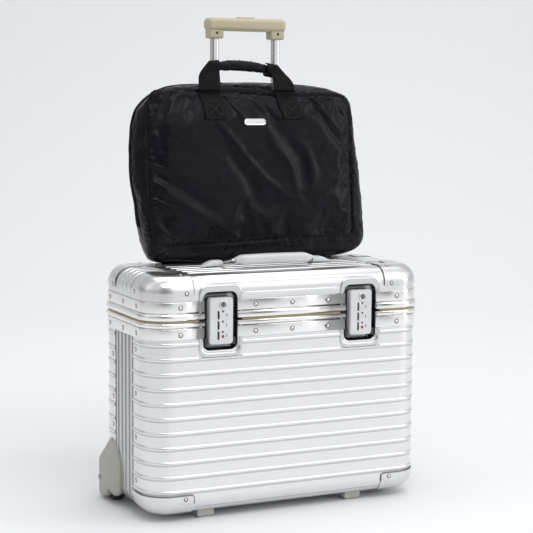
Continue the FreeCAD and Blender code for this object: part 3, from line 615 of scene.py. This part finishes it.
# creases of the front panel: points along the line, half width and rise (a minus is a valley), in millimetres
CREASES = [([(-176, 143), (-130, 117), (-84, 83)], 10, -2.8),
           ([(-172, 132), (-131, 99), (-88, 66)], 9, 1.8), ([(-64, 223), (-25, 178)], 5, 2.0),
           ([(-46, 268), (-18, 226)], 3.5, 1.8), ([(-12, 270), (22, 238)], 3, 2.2),
           ([(6, 268), (44, 230)], 3.5, 1.6), ([(16, 236), (56, 202), (80, 162), (83, 107)], 12, -3.2),
           ([(50, 212), (88, 176), (101, 144), (96, 102)], 8, 1.9),
           ([(24, 214), (40, 178), (64, 148), (76, 92)], 8, 1.8),
           ([(-52, 182), (-14, 130), (4, 86)], 11, -3.4), ([(-36, 184), (14, 132), (54, 100)], 7, 2.2),
           ([(108, 100), (166, 148)], 8, 2.4), ([(-146, 272), (-165, 236)], 5, 1.8),
           ([(-136, 254), (-157, 210)], 5, 1.6), ([(34, 100), (8, 76)], 12, -2.4),
           ([(-120, 96), (-54, 50)], 9, 1.8), ([(-179, 105), (-153, 91)], 4, 1.6),
           ([(100, 268), (130, 248)], 4, 1.6), ([(-178, 158), (-152, 148)], 4, 1.5),
           ([(140, 130), (176, 118)], 6, 1.2), ([(-104, 240), (-112, 190)], 6, 1.0),
           ([(120, 230), (150, 190)], 9, -1.4), ([(-170, 60), (-150, 44)], 5, 2.0)]

def crease_rise(x, height):
    total = 0.0
    spot = Vector((x, height))
    for points, width, rise in CREASES:
        best, along = 1e9, 0.0
        for k, (a, b) in enumerate(zip(points, points[1:])):
            a, b = Vector(a), Vector(b)
            t = max(0.0, min(1.0, (spot - a).dot(b - a) / (b - a).length_squared))
            gap = (spot - a.lerp(b, t)).length
            if gap < best:
                best, along = gap, (k + t) / (len(points) - 1)
        if best < width * 3:
            fade = math.sin(math.pi * min(1.0, 0.12 + along * 0.8)) ** 0.7
            total += rise * fade * math.exp(-(best / width) ** 2)
    return total

def seam_gap(x, height, table):
    """How far inside an outline a spot lies, in millimetres."""
    way = Vector((x, height)) - BAG_MIDDLE
    return at_angle(table, bearing(way.x, way.y)) - way.length


def make_bag_shell():
    """Front, gusset and back as one skin: blown up a little as cloth, then creased and puckered."""
    seam, back = radius_by_angle(SEAM_OUTLINE), radius_by_angle(BACK_OUTLINE)
    rings = [(seam, shrink, depth, None) for shrink, depth in ((0.35, -3.5), (0.7, -3.0), (0.93, -1.2))]
    rings += [(seam if depth < 30 else back, 1.0, depth, swell) for depth, swell in GUSSET]
    rings += [(back, shrink, depth, None) for shrink, depth in ((0.93, 54.8), (0.7, 56.0), (0.35, 56.5))]
    skins = []
    for table, shrink, depth, swell in rings:
        ring = []
        for p in evenly(smooth_curve(BAG_OUTLINE, 20), 320):
            way = p - BAG_MIDDLE
            near = way.normalized() * at_angle(table, bearing(way.x, way.y))
            flat = near * shrink if swell is None else near.lerp(way, swell)
            flat += BAG_MIDDLE
            ring.append(bag_place(flat.x, depth, max(flat.y, 1.9)))
        skins.append(ring)
    obj = mesh_object("bag_skin", *loft(skins), "nylon", "bag", "bag_nylon")
    remesh = obj.modifiers.new("remesh", "REMESH")
    remesh.mode = "VOXEL"
    remesh.voxel_size = 0.0042
    apply_modifiers(obj)
    held = []
    for vertex in obj.data.vertices:
        x, depth, height = bag_local(vertex.co)
        on_front = depth < 4 and abs(seam_gap(x, height, seam)) < 4.5
        on_back = depth > 50 and abs(seam_gap(x, height, back)) < 5
        if on_front or on_back or height < 4:
            held.append(vertex.index)
    for vertex in obj.data.vertices:
        x, depth, height = bag_local(vertex.co)
        push = noise.noise(Vector((x * 0.02, depth * 0.03, height * 0.02)) + Vector((SEED, 0, 0))) * 1.2
        if depth < 3:
            push += crease_rise(x, height) * 0.5
        vertex.co += vertex.normal * push * MM
    before = [vertex.co.copy() for vertex in obj.data.vertices]
    settle_cloth(obj, held, 1.2, 0.035, 20, 0.009)
    for vertex, start in zip(obj.data.vertices, before):
        if bag_local(start)[1] > 3:     # the gusset keeps a quarter of the cloth's movement
            vertex.co = start.lerp(vertex.co, 0.25)
    obj.vertex_groups.clear()
    subdivide(obj)
    shape_bag_details(obj, seam)
    return obj

def shape_bag_details(obj, seam):
    """Creases, seam groove, puckers and ruching, added after the cloth has settled."""
    shifts = []
    for vertex in obj.data.vertices:
        x, depth, height = bag_local(vertex.co)
        gap = seam_gap(x, height, seam)
        along = bearing(x, height - BAG_MIDDLE.y) * 190.0
        wander = noise.noise(Vector((x * 0.03, height * 0.03, depth * 0.05)) + Vector((3, SEED, 1)))
        fine = noise.noise(Vector((x * 0.09, height * 0.09, depth * 0.12)))
        push = 0.0
        if gap > -1 and depth < 8:
            inward = max(gap, 0.0)
            push += crease_rise(x, height) * 0.6 * min(1.0, inward / 14.0)
            pucker = math.sin(along / 2.5 + wander * 9.0) * (0.5 + 0.5 * wander)
            push += 1.5 * pucker * math.exp(-inward / 9.0) + 0.5 * fine
        edge = math.hypot(gap, max(depth, 0.0) * 0.8)
        push -= 3.0 * math.exp(-(edge / 2.6) ** 2)
        if depth > 0.5 and gap < 2:
            ruche = abs(math.sin((along + depth * 1.1) / 4.0 + wander * 5.0)) - 0.5
            reach = math.exp(-((depth - 9.0) / 13.0) ** 2)
            push += 1.1 * ruche * reach * (0.6 + 0.8 * abs(fine)) + 0.7 * fine
        if depth > 45:
            push += 0.7 * wander
        calm_low = min(1.0, max(0.0, (height - 3.0) / 8.0))
        shifts.append(vertex.normal * push * calm_low * MM)
    for vertex, shift in zip(obj.data.vertices, shifts):
        vertex.co += shift
        vertex.co.z = max(vertex.co.z, (CASE_TOP + 1.8) * MM)
    obj.data.update()

def surface_finder(obj):
    """Two functions: the first point met from a start, and the nearest point with its normal."""
    bm = bmesh.new()
    bm.from_mesh(obj.data)
    tree = BVHTree.FromBMesh(bm)
    bm.free()
    return (lambda start, way: tree.ray_cast(start, way)[0]), (lambda spot: tree.find_nearest(spot)[:2])

def front_spot(find, x, height):
    """World point on the bag's front, from its own millimetres across and up."""
    return find(bag_place(x, -40, height), TOWARD_BACK) or bag_place(x, -3, height)


def ribbon(name, rows, thickness, look, body):
    """Flat band with round edges: rows of points across its width, one row after another."""
    obj = linked_mesh(name, *loft(rows, closed_ring=False, cap=False))
    solid = obj.modifiers.new("thickness", "SOLIDIFY")
    solid.thickness = thickness
    solid.offset = 0.0
    bevel = obj.modifiers.new("edge", "BEVEL")
    bevel.width = thickness * 0.3
    bevel.segments = 2
    apply_modifiers(obj)
    return dress(obj, look, body)

def stitch_box(find, middle, side):
    """Box of stitching with a cross in it, low on a strap's patch."""
    corners = [(middle - 14, 230), (middle + 14, 230), (middle + 14, 256), (middle - 14, 256)]
    lines = list(zip(corners, corners[1:] + corners[:1]))
    lines += [(corners[0], corners[2]), (corners[1], corners[3])]
    for k, (start, end) in enumerate(lines):
        path = []
        for j in range(13):
            x, height = (a + (b - a) * j / 12 for a, b in zip(start, end))
            path.append((front_spot(find, x, height) - TOWARD_BACK * 0.0021, -TOWARD_BACK))
        half_round(path, 0.45, 0.4, f"strap_stitch_{side}_{k}", "thread", "bag", "bag_webbing")

def make_bag_straps(find):
    """Two webbing straps sewn to the front panel: their patches and boxes of stitching. make_bag_handle folds
    the straps in round the ends of a padded, gathered grip.
    """
    for name, x in (("left", STRAPS[0] + 9.5), ("right", STRAPS[1] + 8.5)):
        stitch_box(find, x, name)
    for side, top, low in ((-1, STRAPS[0] + 6, STRAPS[0] + 10), (1, STRAPS[1] + 2, STRAPS[1] + 9)):
        rows = []
        for k in range(13):
            t = k / 12
            middle = low + (top - low) * t
            rows.append([front_spot(find, middle + (j / 6 - 0.5) * 37, 226 + 44 * t) - TOWARD_BACK * 0.0012
                         for j in range(7)])
        ribbon(f"strap_patch_{side}", rows, 0.0016, "webbing", "bag")
    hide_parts("bag_strap_patches")

def make_bag_grip(grip_path):
    """Padded grip of gathered cloth along a path of world points."""
    centres = evenly(smooth_curve(grip_path, 12, closed=False), 90, closed=False)
    rings = []
    for k, centre in enumerate(centres):
        ahead = centres[min(k + 1, len(centres) - 1)] - centres[max(k - 1, 0)]
        side = ahead.normalized().cross(TOWARD_BACK).normalized()
        t = k / (len(centres) - 1)
        swell = 8.6 * min(1.0, (math.sin(math.pi * min(max(t, 0.02), 0.98))) ** 0.25)
        ring = []
        for j in range(36):
            turn = math.tau * j / 36
            fold = noise.noise(Vector((k * 0.22 + math.sin(turn) * 0.5, math.cos(turn) * 1.3, 5.0)))
            gather = abs(math.sin(k * 0.62 + 1.6 * math.sin(turn + k * 0.05))) * 0.5
            radius = (swell + fold * 0.9 + gather - 0.3) * MM
            ring.append(centre + side * math.cos(turn) * radius + TOWARD_BACK * math.sin(turn) * radius * 0.9)
        rings.append(ring)
    grip = mesh_object("bag_handle_grip", *loft(rings), "nylon", "bag_handle", "bag_webbing")
    subdivide(grip)
    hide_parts("bag_handle")


def make_bag_handle(find):
    """The grip, the straps that carry it, and their ends wrapped round it."""
    grip_path = [bag_place(x, 9, height)
                 for x, height in ((-66, 311), (-50, 313.5), (-20, 315), (15, 312.5), (46, 307))]
    make_bag_grip(grip_path)
    for name, end, middle, outer, inner in (
            ("left", -1, grip_path[0], [(-91.5, 268), (-90.5, 284), (-88.5, 298), (-80, 310), (-71, 320)],
             [(-53.5, 268), (-53, 284), (-53, 298), (-52.5, 307), (-51, 315)]),
            ("right", 1, grip_path[-1], [(79, 268), (76.5, 284), (71.5, 293), (60, 305), (49, 317)],
             [(42, 268), (41, 284), (39, 298), (36, 305), (31, 310)])):
        rows = []
        outs, ins = (smooth_curve(line, 6, closed=False) for line in (outer, inner))
        for k, (a, b) in enumerate(zip(outs, ins)):
            t = k / (len(outs) - 1)
            row = []
            for j in range(7):
                p = a.lerp(b, j / 6)
                depth = -3.2 + 4.0 * min(1.0, t * 1.6) - 1.2 * math.sin(math.pi * j / 6)
                hit = find(bag_place(p.x, -40, p.y), TOWARD_BACK) if t < 0.12 else None
                if hit:
                    depth = bag_local(hit)[1] - 1.3
                row.append(bag_place(p.x, depth, p.y))
            rows.append(row)
        strap = ribbon(f"bag_handle_strap_{name}", rows, 0.0018, "webbing", None)
        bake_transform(strap)
        rows = []
        for k in range(19):
            turn = math.pi * (0.5 + 1.35 * k / 18)
            row = []
            for j in range(5):
                slide = (j / 4 - 0.5) * 0.017 - end * 0.006
                spot = middle + Vector((slide, 0, slide * (0.1 if end < 0 else -0.16)))
                row.append(spot + Vector((0, 0, 0.0103)) * math.sin(turn)
                           + TOWARD_BACK * 0.0098 * math.cos(turn))
            rows.append(row)
        ribbon(f"bag_handle_wrap_{name}", rows, 0.0016, "webbing", "bag_handle")


def make_bag_zip(nearest):
    """Zip tape and its teeth, round the gusset from one bottom corner over the top to the other."""
    top = [p for p in evenly(smooth_curve(BAG_OUTLINE, 20), 400) if p.y > 60]
    cut = max(range(len(top)), key=lambda k: (top[k] - top[k - 1]).length)
    rows = []
    for p in top[cut:] + top[:cut]:
        row = []
        for depth, lift in ((31.0, 0.3), (33.6, 0.5), (34.6, 1.3), (35.6, 1.3), (36.6, 0.5), (39.2, 0.3)):
            spot, normal = nearest(bag_place(p.x, depth, p.y))
            row.append(spot + normal * (0.0005 + lift * MM))
        rows.append(row)
    for _ in range(6):
        rows = rows[:1] + [[(a + b * 2 + c) / 4 for a, b, c in zip(rows[k - 1], rows[k], rows[k + 1])]
                           for k in range(1, len(rows) - 1)] + rows[-1:]
    zip_tape = ribbon("bag_zip_tape", rows, 0.0012, "zip", "bag")
    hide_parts("bag_zip")


def make_bag_piping(nearest):
    """Round piping along the front seam."""
    radius = 0.0011
    rings = []
    for p in evenly(smooth_curve(SEAM_OUTLINE, 16), 420):
        hit = nearest(bag_place(p.x, 0, p.y))[0]
        outward = (p - BAG_MIDDLE).normalized()
        across = (bag_place(p.x + outward.x, 0, p.y + outward.y) - bag_place(p.x, 0, p.y)).normalized()
        rings.append([hit + across * radius * c + TOWARD_BACK * radius * s for c, s in circle(8)])
    rings.append(rings[0])
    piping = mesh_object("bag_piping", *loft(rings, cap=False), "zip", "bag", "bag_nylon")
    with edited(piping) as bm:
        bmesh.ops.remove_doubles(bm, verts=bm.verts, dist=1e-6)


def make_bag_badge(find):
    """Blank metal badge on the front panel."""
    hit = find(bag_place(0, -40, BADGE_HEIGHT), TOWARD_BACK)
    shift = (bag_local(hit)[1] + 1.2 if hit else 0.0) * TOWARD_BACK * MM
    rings = []
    for grow, rise in ((0.94, 0.0), (1.0, 0.3), (1.0, 1.0), (0.93, 1.5), (0.86, 1.5), (0.84, 1.2),
                       (0.5, 1.35)):
        rings.append([bag_place((13.8 if c > 0 else -13.8) + c * 5.2 * grow, -1.4 - rise,
                                BADGE_HEIGHT + s * 5.2 * grow) + shift for c, s in circle(48)])
    badge = mesh_object("bag_blank_badge", *loft(rings), "chrome", "bag", "badge_metal")
    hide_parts("bag_badge")


def make_bag():
    skin = make_bag_shell()
    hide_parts("bag_shell", "bag_front_panel")
    find, nearest = surface_finder(skin)
    make_bag_straps(find)
    make_bag_handle(find)
    make_bag_zip(nearest)
    make_bag_piping(nearest)
    make_bag_badge(find)


# ---- case details ----
def place(x, y, z):
    """World point from millimetres about the middle of the case."""
    return Vector((x, y + ROW_Y, z)) * MM

def superellipse(count, wide, high, power):
    """Points of a rounded rectangle about the origin."""
    return [(wide * math.copysign(abs(c) ** (2 / power), c), high * math.copysign(abs(s) ** (2 / power), s))
            for c, s in circle(count)]

def turned(centre, out, profile, count):
    """Rings round an outward direction, from (radius, rise) pairs in metres."""
    side = out.orthogonal().normalized()
    other = out.cross(side)
    return [[centre + (side * c + other * s) * radius + out * rise for c, s in circle(count)]
            for radius, rise in profile]


def make_carry_handle():
    """Flat moulded grip, thicker in the middle than at the necks where the bail enters it."""
    rings = []
    for k in range(61):
        t = -1 + 2 * k / 60
        neck = max(0.0, (abs(t) - 0.80) / 0.20)
        ease = 1 - neck * neck * (3 - 2 * neck)
        wide, high = 6.0 + 4.9 * ease, 4.6 + 3.3 * ease
        lift = 1.0 * (1 - t * t)
        rings.append([place(66.0 * t, -38 + a, 389.0 + lift + b)
                      for a, b in superellipse(40, wide, high, 3.2)])
    grip = mesh_object("carry_grip", *loft(rings), "silver", "carry_handle", "handle_plastic")
    subdivide(grip)
    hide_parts("carry_handle_grip")


def rounded_rectangle(count, half_x, half_z, radius):
    """Evenly spaced points of a rectangle with round corners about the origin."""
    points = []
    for cx, cz, start in ((1, 1, 0), (-1, 1, 90), (-1, -1, 180), (1, -1, 270)):
        points += [Vector((cx * (half_x - radius) + radius * c, cz * (half_z - radius) + radius * s))
                   for c, s in arc(start, start + 90, 8)]
    return evenly(points, count)


# pressed dish round a latch: how far in from its outline, and how far in front of the case, in millimetres
DISH_PROFILE = ((-0.2, -0.3), (0.1, 0.8), (0.8, 1.5), (2.0, 1.8), (3.4, 1.6), (4.5, 0.9), (5.1, 0.35),
                (5.7, 0.5), (7.2, 0.2), (7.7, -2.6), (8.4, -6.6), (9.3, -9.5), (11.0, -10.3), (16.0, -10.5),
                (24.0, -10.6))
DISH_TALLER = 1.47
DISH_MIDDLE, DISH_HALF_X, DISH_HALF_Z, SEAM_LOW, SEAM_HIGH = 306.5, 35.5, 55.0, 307.0, 309.6

def keep_side(obj, height, above):
    """Cuts a mesh at a height and keeps one side."""
    with edited(obj) as bm:
        bmesh.ops.bisect_plane(bm, geom=bm.verts[:] + bm.edges[:] + bm.faces[:], plane_co=(0, 0, height * MM),
                               plane_no=(0, 0, 1), clear_inner=above, clear_outer=not above)

def make_latch_dishes():
    """Rounded pressed rims and wells darkened by painted shade, cut at the seam into a lid half and a body
    half.
    """
    for side, sign in SIDES:
        for half, above, body in (("upper", True, "lid"), ("lower", False, "root")):
            rings = []
            for inset, proud in DISH_PROFILE:
                outline = rounded_rectangle(160, DISH_HALF_X - inset, DISH_HALF_Z - inset * DISH_TALLER,
                                            max(4.0, 13.0 - inset * 0.35))
                rings.append([place(sign * LATCH_X + p.x, -CASE_HALF_Y - proud, DISH_MIDDLE + p.y)
                              for p in outline])
            points, faces = loft(rings, cap=False)
            points.append(place(sign * LATCH_X, -CASE_HALF_Y + 10.7, DISH_MIDDLE))
            start, centre = (len(rings) - 1) * 160, len(points) - 1
            faces += [(start + k, start + (k + 1) % 160, centre) for k in range(160)]
            piece = mesh_object(f"dish_{side}_{half}", points, faces, "dish", None, "dish_aluminium")
            keep_side(piece, SEAM_HIGH if above else SEAM_LOW, above)
            thicken(piece, 0.0007)
            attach(piece, body)
    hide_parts("latch_dishes_upper")
    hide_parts("latch_dishes_lower")


# cross-sections of the two rims: how far they stand out of the case, and the height, in millimetres
RIM_LOWER = ((-0.5, 280.8), (1.5, 280.9), (1.9, 281.3), (2.0, 282.0), (2.0, 296.6), (1.9, 297.5),
             (1.3, 298.1), (0.7, 298.5), (1.4, 299.0), (3.0, 299.7), (3.9, 301.0), (4.3, 303.0),
             (4.0, 304.9), (3.2, 306.2), (1.8, 306.9), (-1.0, 307.0))
RIM_UPPER = ((-1.0, 309.6), (1.8, 309.7), (3.2, 310.4), (4.0, 311.8), (4.3, 314.4), (4.1, 317.2),
             (3.3, 319.6), (1.8, 320.6), (0.7, 321.0), (1.3, 321.4), (1.9, 322.0), (2.0, 322.9),
             (2.0, 337.0), (1.9, 337.6), (1.5, 338.0), (-0.5, 338.1))
RIM_GAP = 27.6

def case_path(grow=0.0):
    """Round the case at one height, from its front by way of its right end: points and outward directions."""
    flat_x, flat_y = CASE_HALF_X - CORNER_R, CASE_HALF_Y - CORNER_R
    out = []
    for cx, cy, start in ((1, -1, -90), (1, 1, 0), (-1, 1, 90), (-1, -1, 180)):
        for c, s in arc(start, start + 90, 18):
            way = Vector((c, s))
            out.append((Vector((cx * flat_x, cy * flat_y)) + way * (CORNER_R + grow), way))
    return out

def make_rims():
    """Extruded rims of body and lid, with rounded lips, open where the latches are."""
    front = Vector((0, -1))
    ends = [Vector((x, -CASE_HALF_Y)) for x in (LATCH_X + RIM_GAP, -LATCH_X - RIM_GAP)]
    long_way = [(ends[0], front)] + case_path() + [(ends[1], front)]
    inner = LATCH_X - RIM_GAP
    short_way = [(Vector((x, -CASE_HALF_Y)), front) for x in (-inner, 0, inner)]
    for name, profile, body in (("lower", RIM_LOWER, "root"), ("upper", RIM_UPPER, "lid")):
        for part, path in (("round", long_way), ("front", short_way)):
            rings = [[place(*(spot + way * proud), height) for proud, height in profile]
                     for spot, way in path]
            rim = mesh_object(f"rim_{name}_{part}", *loft(rings, closed_ring=False, cap=False), "frame", None,
                              "aluminium_frame")
            thicken(rim, 0.0009)
            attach(rim, body)
            if part == "round":
                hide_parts(f"frame_{name}")

def loose_parts(obj):
    """Corner points of each separate solid in a CAD node."""
    bm = bmesh.new()
    bm.from_mesh(obj.data)
    bmesh.ops.remove_doubles(bm, verts=bm.verts, dist=1e-6)
    seen, parts = set(), []
    for start in bm.verts:
        if start in seen:
            continue
        seen.add(start)
        queue, part = [start], []
        while queue:
            vert = queue.pop()
            part.append(vert.co.copy())
            for edge in vert.link_edges:
                other = edge.other_vert(vert)
                if other not in seen:
                    seen.add(other)
                    queue.append(other)
        parts.append(part)
    bm.free()
    return parts

def make_rivet_shadow_rings():
    """Dark ring of painted shadow round each rivet head."""
    for node, body, name in (("body_rivets", "root", "body"), ("lid_rivets", "lid", "lid")):
        points, faces = [], []
        for part in loose_parts(NODES[node]):
            middle = sum(part, Vector()) / len(part)
            x, y, z = middle.x / MM, middle.y / MM - ROW_Y, middle.z / MM
            core = Vector((max(-CASE_HALF_X + EDGE_R, min(CASE_HALF_X - EDGE_R, x)),
                           max(-CASE_HALF_Y + EDGE_R, min(CASE_HALF_Y - EDGE_R, y)),
                           min(CASE_TOP - EDGE_R, z)))
            out = (Vector((x, y, z)) - core).normalized()
            base = min(p.dot(out) for p in part)
            side = out.orthogonal().normalized()
            wide = max((p - middle).dot(side) for p in part) + 0.0009
            rings = turned(middle + out * (base - middle.dot(out)), out,
                           [(wide * share, rise * MM)
                            for share, rise in ((1.0, -0.1), (1.0, 0.12), (0.9, 0.2), (0.55, 0.2))], 28)
            new_points, new_faces = loft(rings)
            faces += [tuple(v + len(points) for v in face) for face in new_faces]
            points += new_points
        mesh_object(f"rivet_shadow_ring_{name}", points, faces, "painted_shade", body, "rivet_steel")

def make_cap_shadow_beads():
    """Rolled edges where the pressed corner covers end, in dark metal as painted shade along each edge."""
    proud, bend = 1.4, EDGE_R + 1.4
    for side, sx in SIDES:
        for end, sy in (("front", -1), ("back", 1)):
            path = [(place(sx * 163, sy * (CASE_HALF_Y + proud), 347.5), Vector((0, sy, 0)))]
            path += [(place(sx * 163, sy * (CASE_HALF_Y - EDGE_R + bend * c), CASE_TOP - EDGE_R + bend * s),
                      Vector((0, sy * c, s))) for c, s in arc(0, 90, 14)]
            path += [(place(sx * (173 - 10 * c), sy * (48 - 10 * s), CASE_TOP + proud), Vector((0, 0, 1)))
                     for c, s in arc(0, 90, 8)]
            path += [(place(sx * (CASE_HALF_X - EDGE_R + bend * c), sy * 38, CASE_TOP - EDGE_R + bend * s),
                      Vector((sx * c, 0, s))) for c, s in arc(90, 0, 14)]
            path.append((place(sx * (CASE_HALF_X + proud), sy * 38, 347.5), Vector((sx, 0, 0))))
            half_round(path, 0.8, 0.45, f"cap_shadow_bead_lid_{end}_{side}", "cap_edge", "lid", "cap_aluminium")
        front, outward = Vector((0, -1, 0)), Vector((sx, 0, 0))
        low = [(place(sx * 162, -CASE_HALF_Y - proud, h), front) for h in (30, 34, 38)]
        low += [(place(sx * (167 - 5 * math.cos(t)), -CASE_HALF_Y - proud, 38 + 5 * math.sin(t)), front)
                for t in (0.5, 1.0, 1.5)]
        low += [(place(sx * p.x, p.y, 43), Vector((sx * w.x, w.y, 0))) for p, w in case_path(proud)[:19]]
        low += [(place(sx * (CASE_HALF_X + proud), y, h), outward)
                for y, h in ((-45, 43), (-41, 41), (-40, 30))]
        half_round(low, 0.9, 0.5, f"cap_shadow_bead_base_{side}", "cap_edge", "root", "cap_aluminium")


# wheel housing: side outline, and how far it stands out of the case, in millimetres
HOUSING_CURVE = [(14.5, 37.5), (17, 66), (34, 94), (57, 104.5), (80, 87), (103, 60), (114, 31), (108, 10)]
HOUSING_CUT = [(99, 5), (76, 4), (62, 10), (48, 26), (40, 20), (29, 16), (18, 23)]
HOUSING_MIDDLE = Vector((66, 42))

def line_length(points):
    return sum((b - a).length for a, b in zip(points, points[1:]))


def housing_reach(y, z):
    """How far the housing stands out of the case: thinner upwards and forwards, rounded off at the back."""
    high = max(0.0, min(1.0, (96 - z) / 44))
    fore = max(0.0, min(1.0, (y - 12) / 30))
    out = (3.0 + 6.6 * high * high * (3 - 2 * high)) * (0.45 + 0.55 * fore)
    rear = max(0.0, y - 87.35)
    return min(out, 10.0 - 28.0 + math.sqrt(max(0.0, 28.0 ** 2 - rear ** 2)))


def make_housings():
    """Wheel housings: a bulged boss that thins out upwards and forwards, rounded at the back, open below."""
    curve = smooth_curve(HOUSING_CURVE, 14, closed=False)
    outline = curve + [Vector(p) for p in HOUSING_CUT]
    open_from = int(180 * line_length(curve) / line_length(outline + outline[:1]))
    outline = evenly(outline, 180)
    first = None
    for side, sx in SIDES:
        rings = [[place(sx * 206, p.x, p.y) for p in outline]]
        for share, level in ((1.0, 0.0), (1.0, 0.45), (0.985, 0.72), (0.95, 0.89), (0.89, 0.97), (0.75, 1.0),
                             (0.5, 1.0), (0.2, 1.0)):
            ring = []
            for p in outline:
                q = HOUSING_MIDDLE + (p - HOUSING_MIDDLE) * share
                reach = housing_reach(q.x, q.y)
                part = level if reach > 0 else max(level, 0.3)
                ring.append(place(sx * (CASE_HALF_X - 2 + (reach + 2) * part), q.x, q.y))
            rings.append(ring)
        points, faces = loft(rings, cap=False)
        faces = [face for face in faces if not open_from <= face[0] < 180]
        points.append(place(sx * (CASE_HALF_X + 9.6), *HOUSING_MIDDLE))
        start = (len(rings) - 1) * 180
        faces += [(start + k, start + (k + 1) % 180, len(points) - 1) for k in range(180)]
        cover = mesh_object(f"wheel_cover_{side}", points, faces, "housing", None, "housing_plastic")
        thicken(cover, 0.0022)
        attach(cover, "root")
        first = first or cover
    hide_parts("wheel_housings")

def half_round(path, half_width, rise, name, look, body, slot):
    """Low half-round bead with tapered ends, in millimetres, along (world point, outward direction) pairs."""
    rings = []
    for k, (spot, out) in enumerate(path):
        ahead = (path[min(k + 1, len(path) - 1)][0] - path[max(k - 1, 0)][0]).normalized()
        across = out.cross(ahead).normalized()
        taper = min(1.0, 0.05 + min(k, len(path) - 1 - k) / 3.0)
        rings.append([spot + across * c * half_width * MM + out * (s ** 0.8 * rise * taper - 0.25) * MM
                      for c, s in arc(0, 180, 12)])
    return mesh_object(name, *loft(rings, closed_ring=False, cap=False), look, body, slot)

def make_lid_ribs():
    """Ribs pressed along the front and back bends of the lid, and over its ends between the corner caps."""
    for side, sign in (("front", -1), ("back", 1)):
        for n, angle in enumerate((0.0, 34.0, 64.0)):
            turn = math.radians(angle)
            out = Vector((0, sign * math.cos(turn), math.sin(turn)))
            y = sign * (CASE_HALF_Y - EDGE_R + EDGE_R * math.cos(turn))
            z = CASE_TOP - EDGE_R + EDGE_R * math.sin(turn) - (4.5 if n == 0 else 0.0)
            # the lowest front rib is short, as the latches' dishes are in its way
            half, last = (82, 1) if (side, n) == ("front", 0) else (157, 0)
            path = [(place(-half + 2 * half * k / 40, y, z), out) for k in range(41)]
            half_round(path, 2.8, 1.35, f"lid_rib_{side}_{n}_{last}", "lid_sheet", "lid", "aluminium_sheet")
    bend_x, bend_z = CASE_HALF_X - EDGE_R, CASE_TOP - EDGE_R
    for side, sign in SIDES:
        for n, y in enumerate((-27, -9, 9, 27)):
            path = [(place(sign * CASE_HALF_X, y, 339 + (bend_z - 339) * k / 8), Vector((sign, 0, 0)))
                    for k in range(8)]
            path += [(place(sign * (bend_x + EDGE_R * c), y, bend_z + EDGE_R * s), Vector((sign * c, 0, s)))
                     for c, s in arc(0, 90, 12)]
            path += [(place(sign * (bend_x - 45 * k / 7), y, CASE_TOP), Vector((0, 0, 1)))
                     for k in range(1, 8)]
            half_round(path, 2.6, 1.3, f"lid_rib_{side}_{n}", "lid_sheet", "lid", "aluminium_sheet")

def make_handle_brackets():
    """Low cast brackets that hold the carrying handle's bail, tapering outwards."""
    first = None
    for side, sign in SIDES:
        rings = []
        for k in range(25):
            t = k / 24
            grow = math.sin(math.pi / 2 * min(1.0, t * 1.5 + 0.06)) * (1.0 if t < 0.93 else 0.93)
            high, wide = 5.2 * grow, 5.5 + 4.5 * grow
            rings.append([place(sign * (113 - 35 * t), -12 + a, CASE_TOP + 1.5 + high * 0.98 + b)
                          for a, b in superellipse(36, wide, high, 3.0)])
        bracket = mesh_object(f"handle_bracket_{side}", *loft(rings), "silver", "lid", "dish_aluminium")
        first = first or bracket
    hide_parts("carry_handle_brackets")

def make_latch_details():
    """Dark slits beside each number wheel, a plain red dot, and a ring round each keyhole."""
    for side, sign in SIDES:
        x, body = sign * LATCH_X, f"latch_{side}"
        for k, z in enumerate((315.5, 300.0, 284.5)):
            slit = [[place(x + 9.2 + a, depth, z + b) for a, b in superellipse(24, 0.55, 2.6, 2.4)]
                    for depth in (-107.4, -107.56)]
            mesh_object(f"latch_{side}_slit_{k + 1}", *loft(slit), "black", body, "dial_plastic")
        steps = ((1.0, -0.3), (1.0, 0.35), (0.93, 0.8), (0.8, 1.0), (0.4, 1.06))
        dot = turned(place(x + 3.0, -107.5, 282.9), Vector((0, -1, 0)),
                     [(2.3 * share * MM, 0.7 * height * MM) for share, height in steps], 32)
        mesh_object(f"latch_{side}_dot", *loft(dot), "red", body, "latch_metal")
        ring = []
        for radius, depth in ((6.3, -108.5), (6.0, -109.0), (5.3, -109.1), (4.9, -108.6), (4.75, -108.0)):
            ring.append([place(x + 3.0 + radius * c, depth, 331.5 + radius * s) for c, s in circle(48)])
        mesh_object(f"latch_{side}_key_ring", *loft(ring, cap=False), "chrome", body, "key_metal")

def make_sleeve():
    """Webbing sleeve that holds the bag to the telescopic tubes, closer to the tubes than a box would be."""
    (x0, y0, z0), (x1, y1, z1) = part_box("bag_sleeve")
    middle = Vector(((x0 + x1) / 2, (y0 + y1) / 2))
    rings = []
    for k in range(33):
        t = k / 32
        z = z0 + (z1 - z0) * t
        ring = []
        for a, b in superellipse(96, (x1 - x0) / 2 - 0.0015, (y1 - y0) / 2 - 0.0012, 5.0):
            wave = noise.noise(Vector((a * 22, b * 22, z * 18 + 4)))
            inward = 1 - 0.02 * (1 + wave) * math.sin(math.pi * t)
            ring.append(Vector((middle.x + a * inward, middle.y + b * inward, z)))
        rings.append(ring)
    sleeve = mesh_object("bag_trolley_sleeve", *loft(rings, cap=False), "webbing", None, "bag_webbing")
    thicken(sleeve, 0.0014)
    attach(sleeve, "bag_sleeve")
    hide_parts("bag_sleeve")

def make_case_details():
    make_carry_handle()
    make_handle_brackets()
    make_latch_dishes()
    make_rims()
    make_rivet_shadow_rings()
    make_cap_shadow_beads()
    make_housings()
    make_lid_ribs()
    make_latch_details()
    make_sleeve()

make_camera()
make_materials()
make_studio()
paint_cad_nodes()
make_case_details()
make_bag()
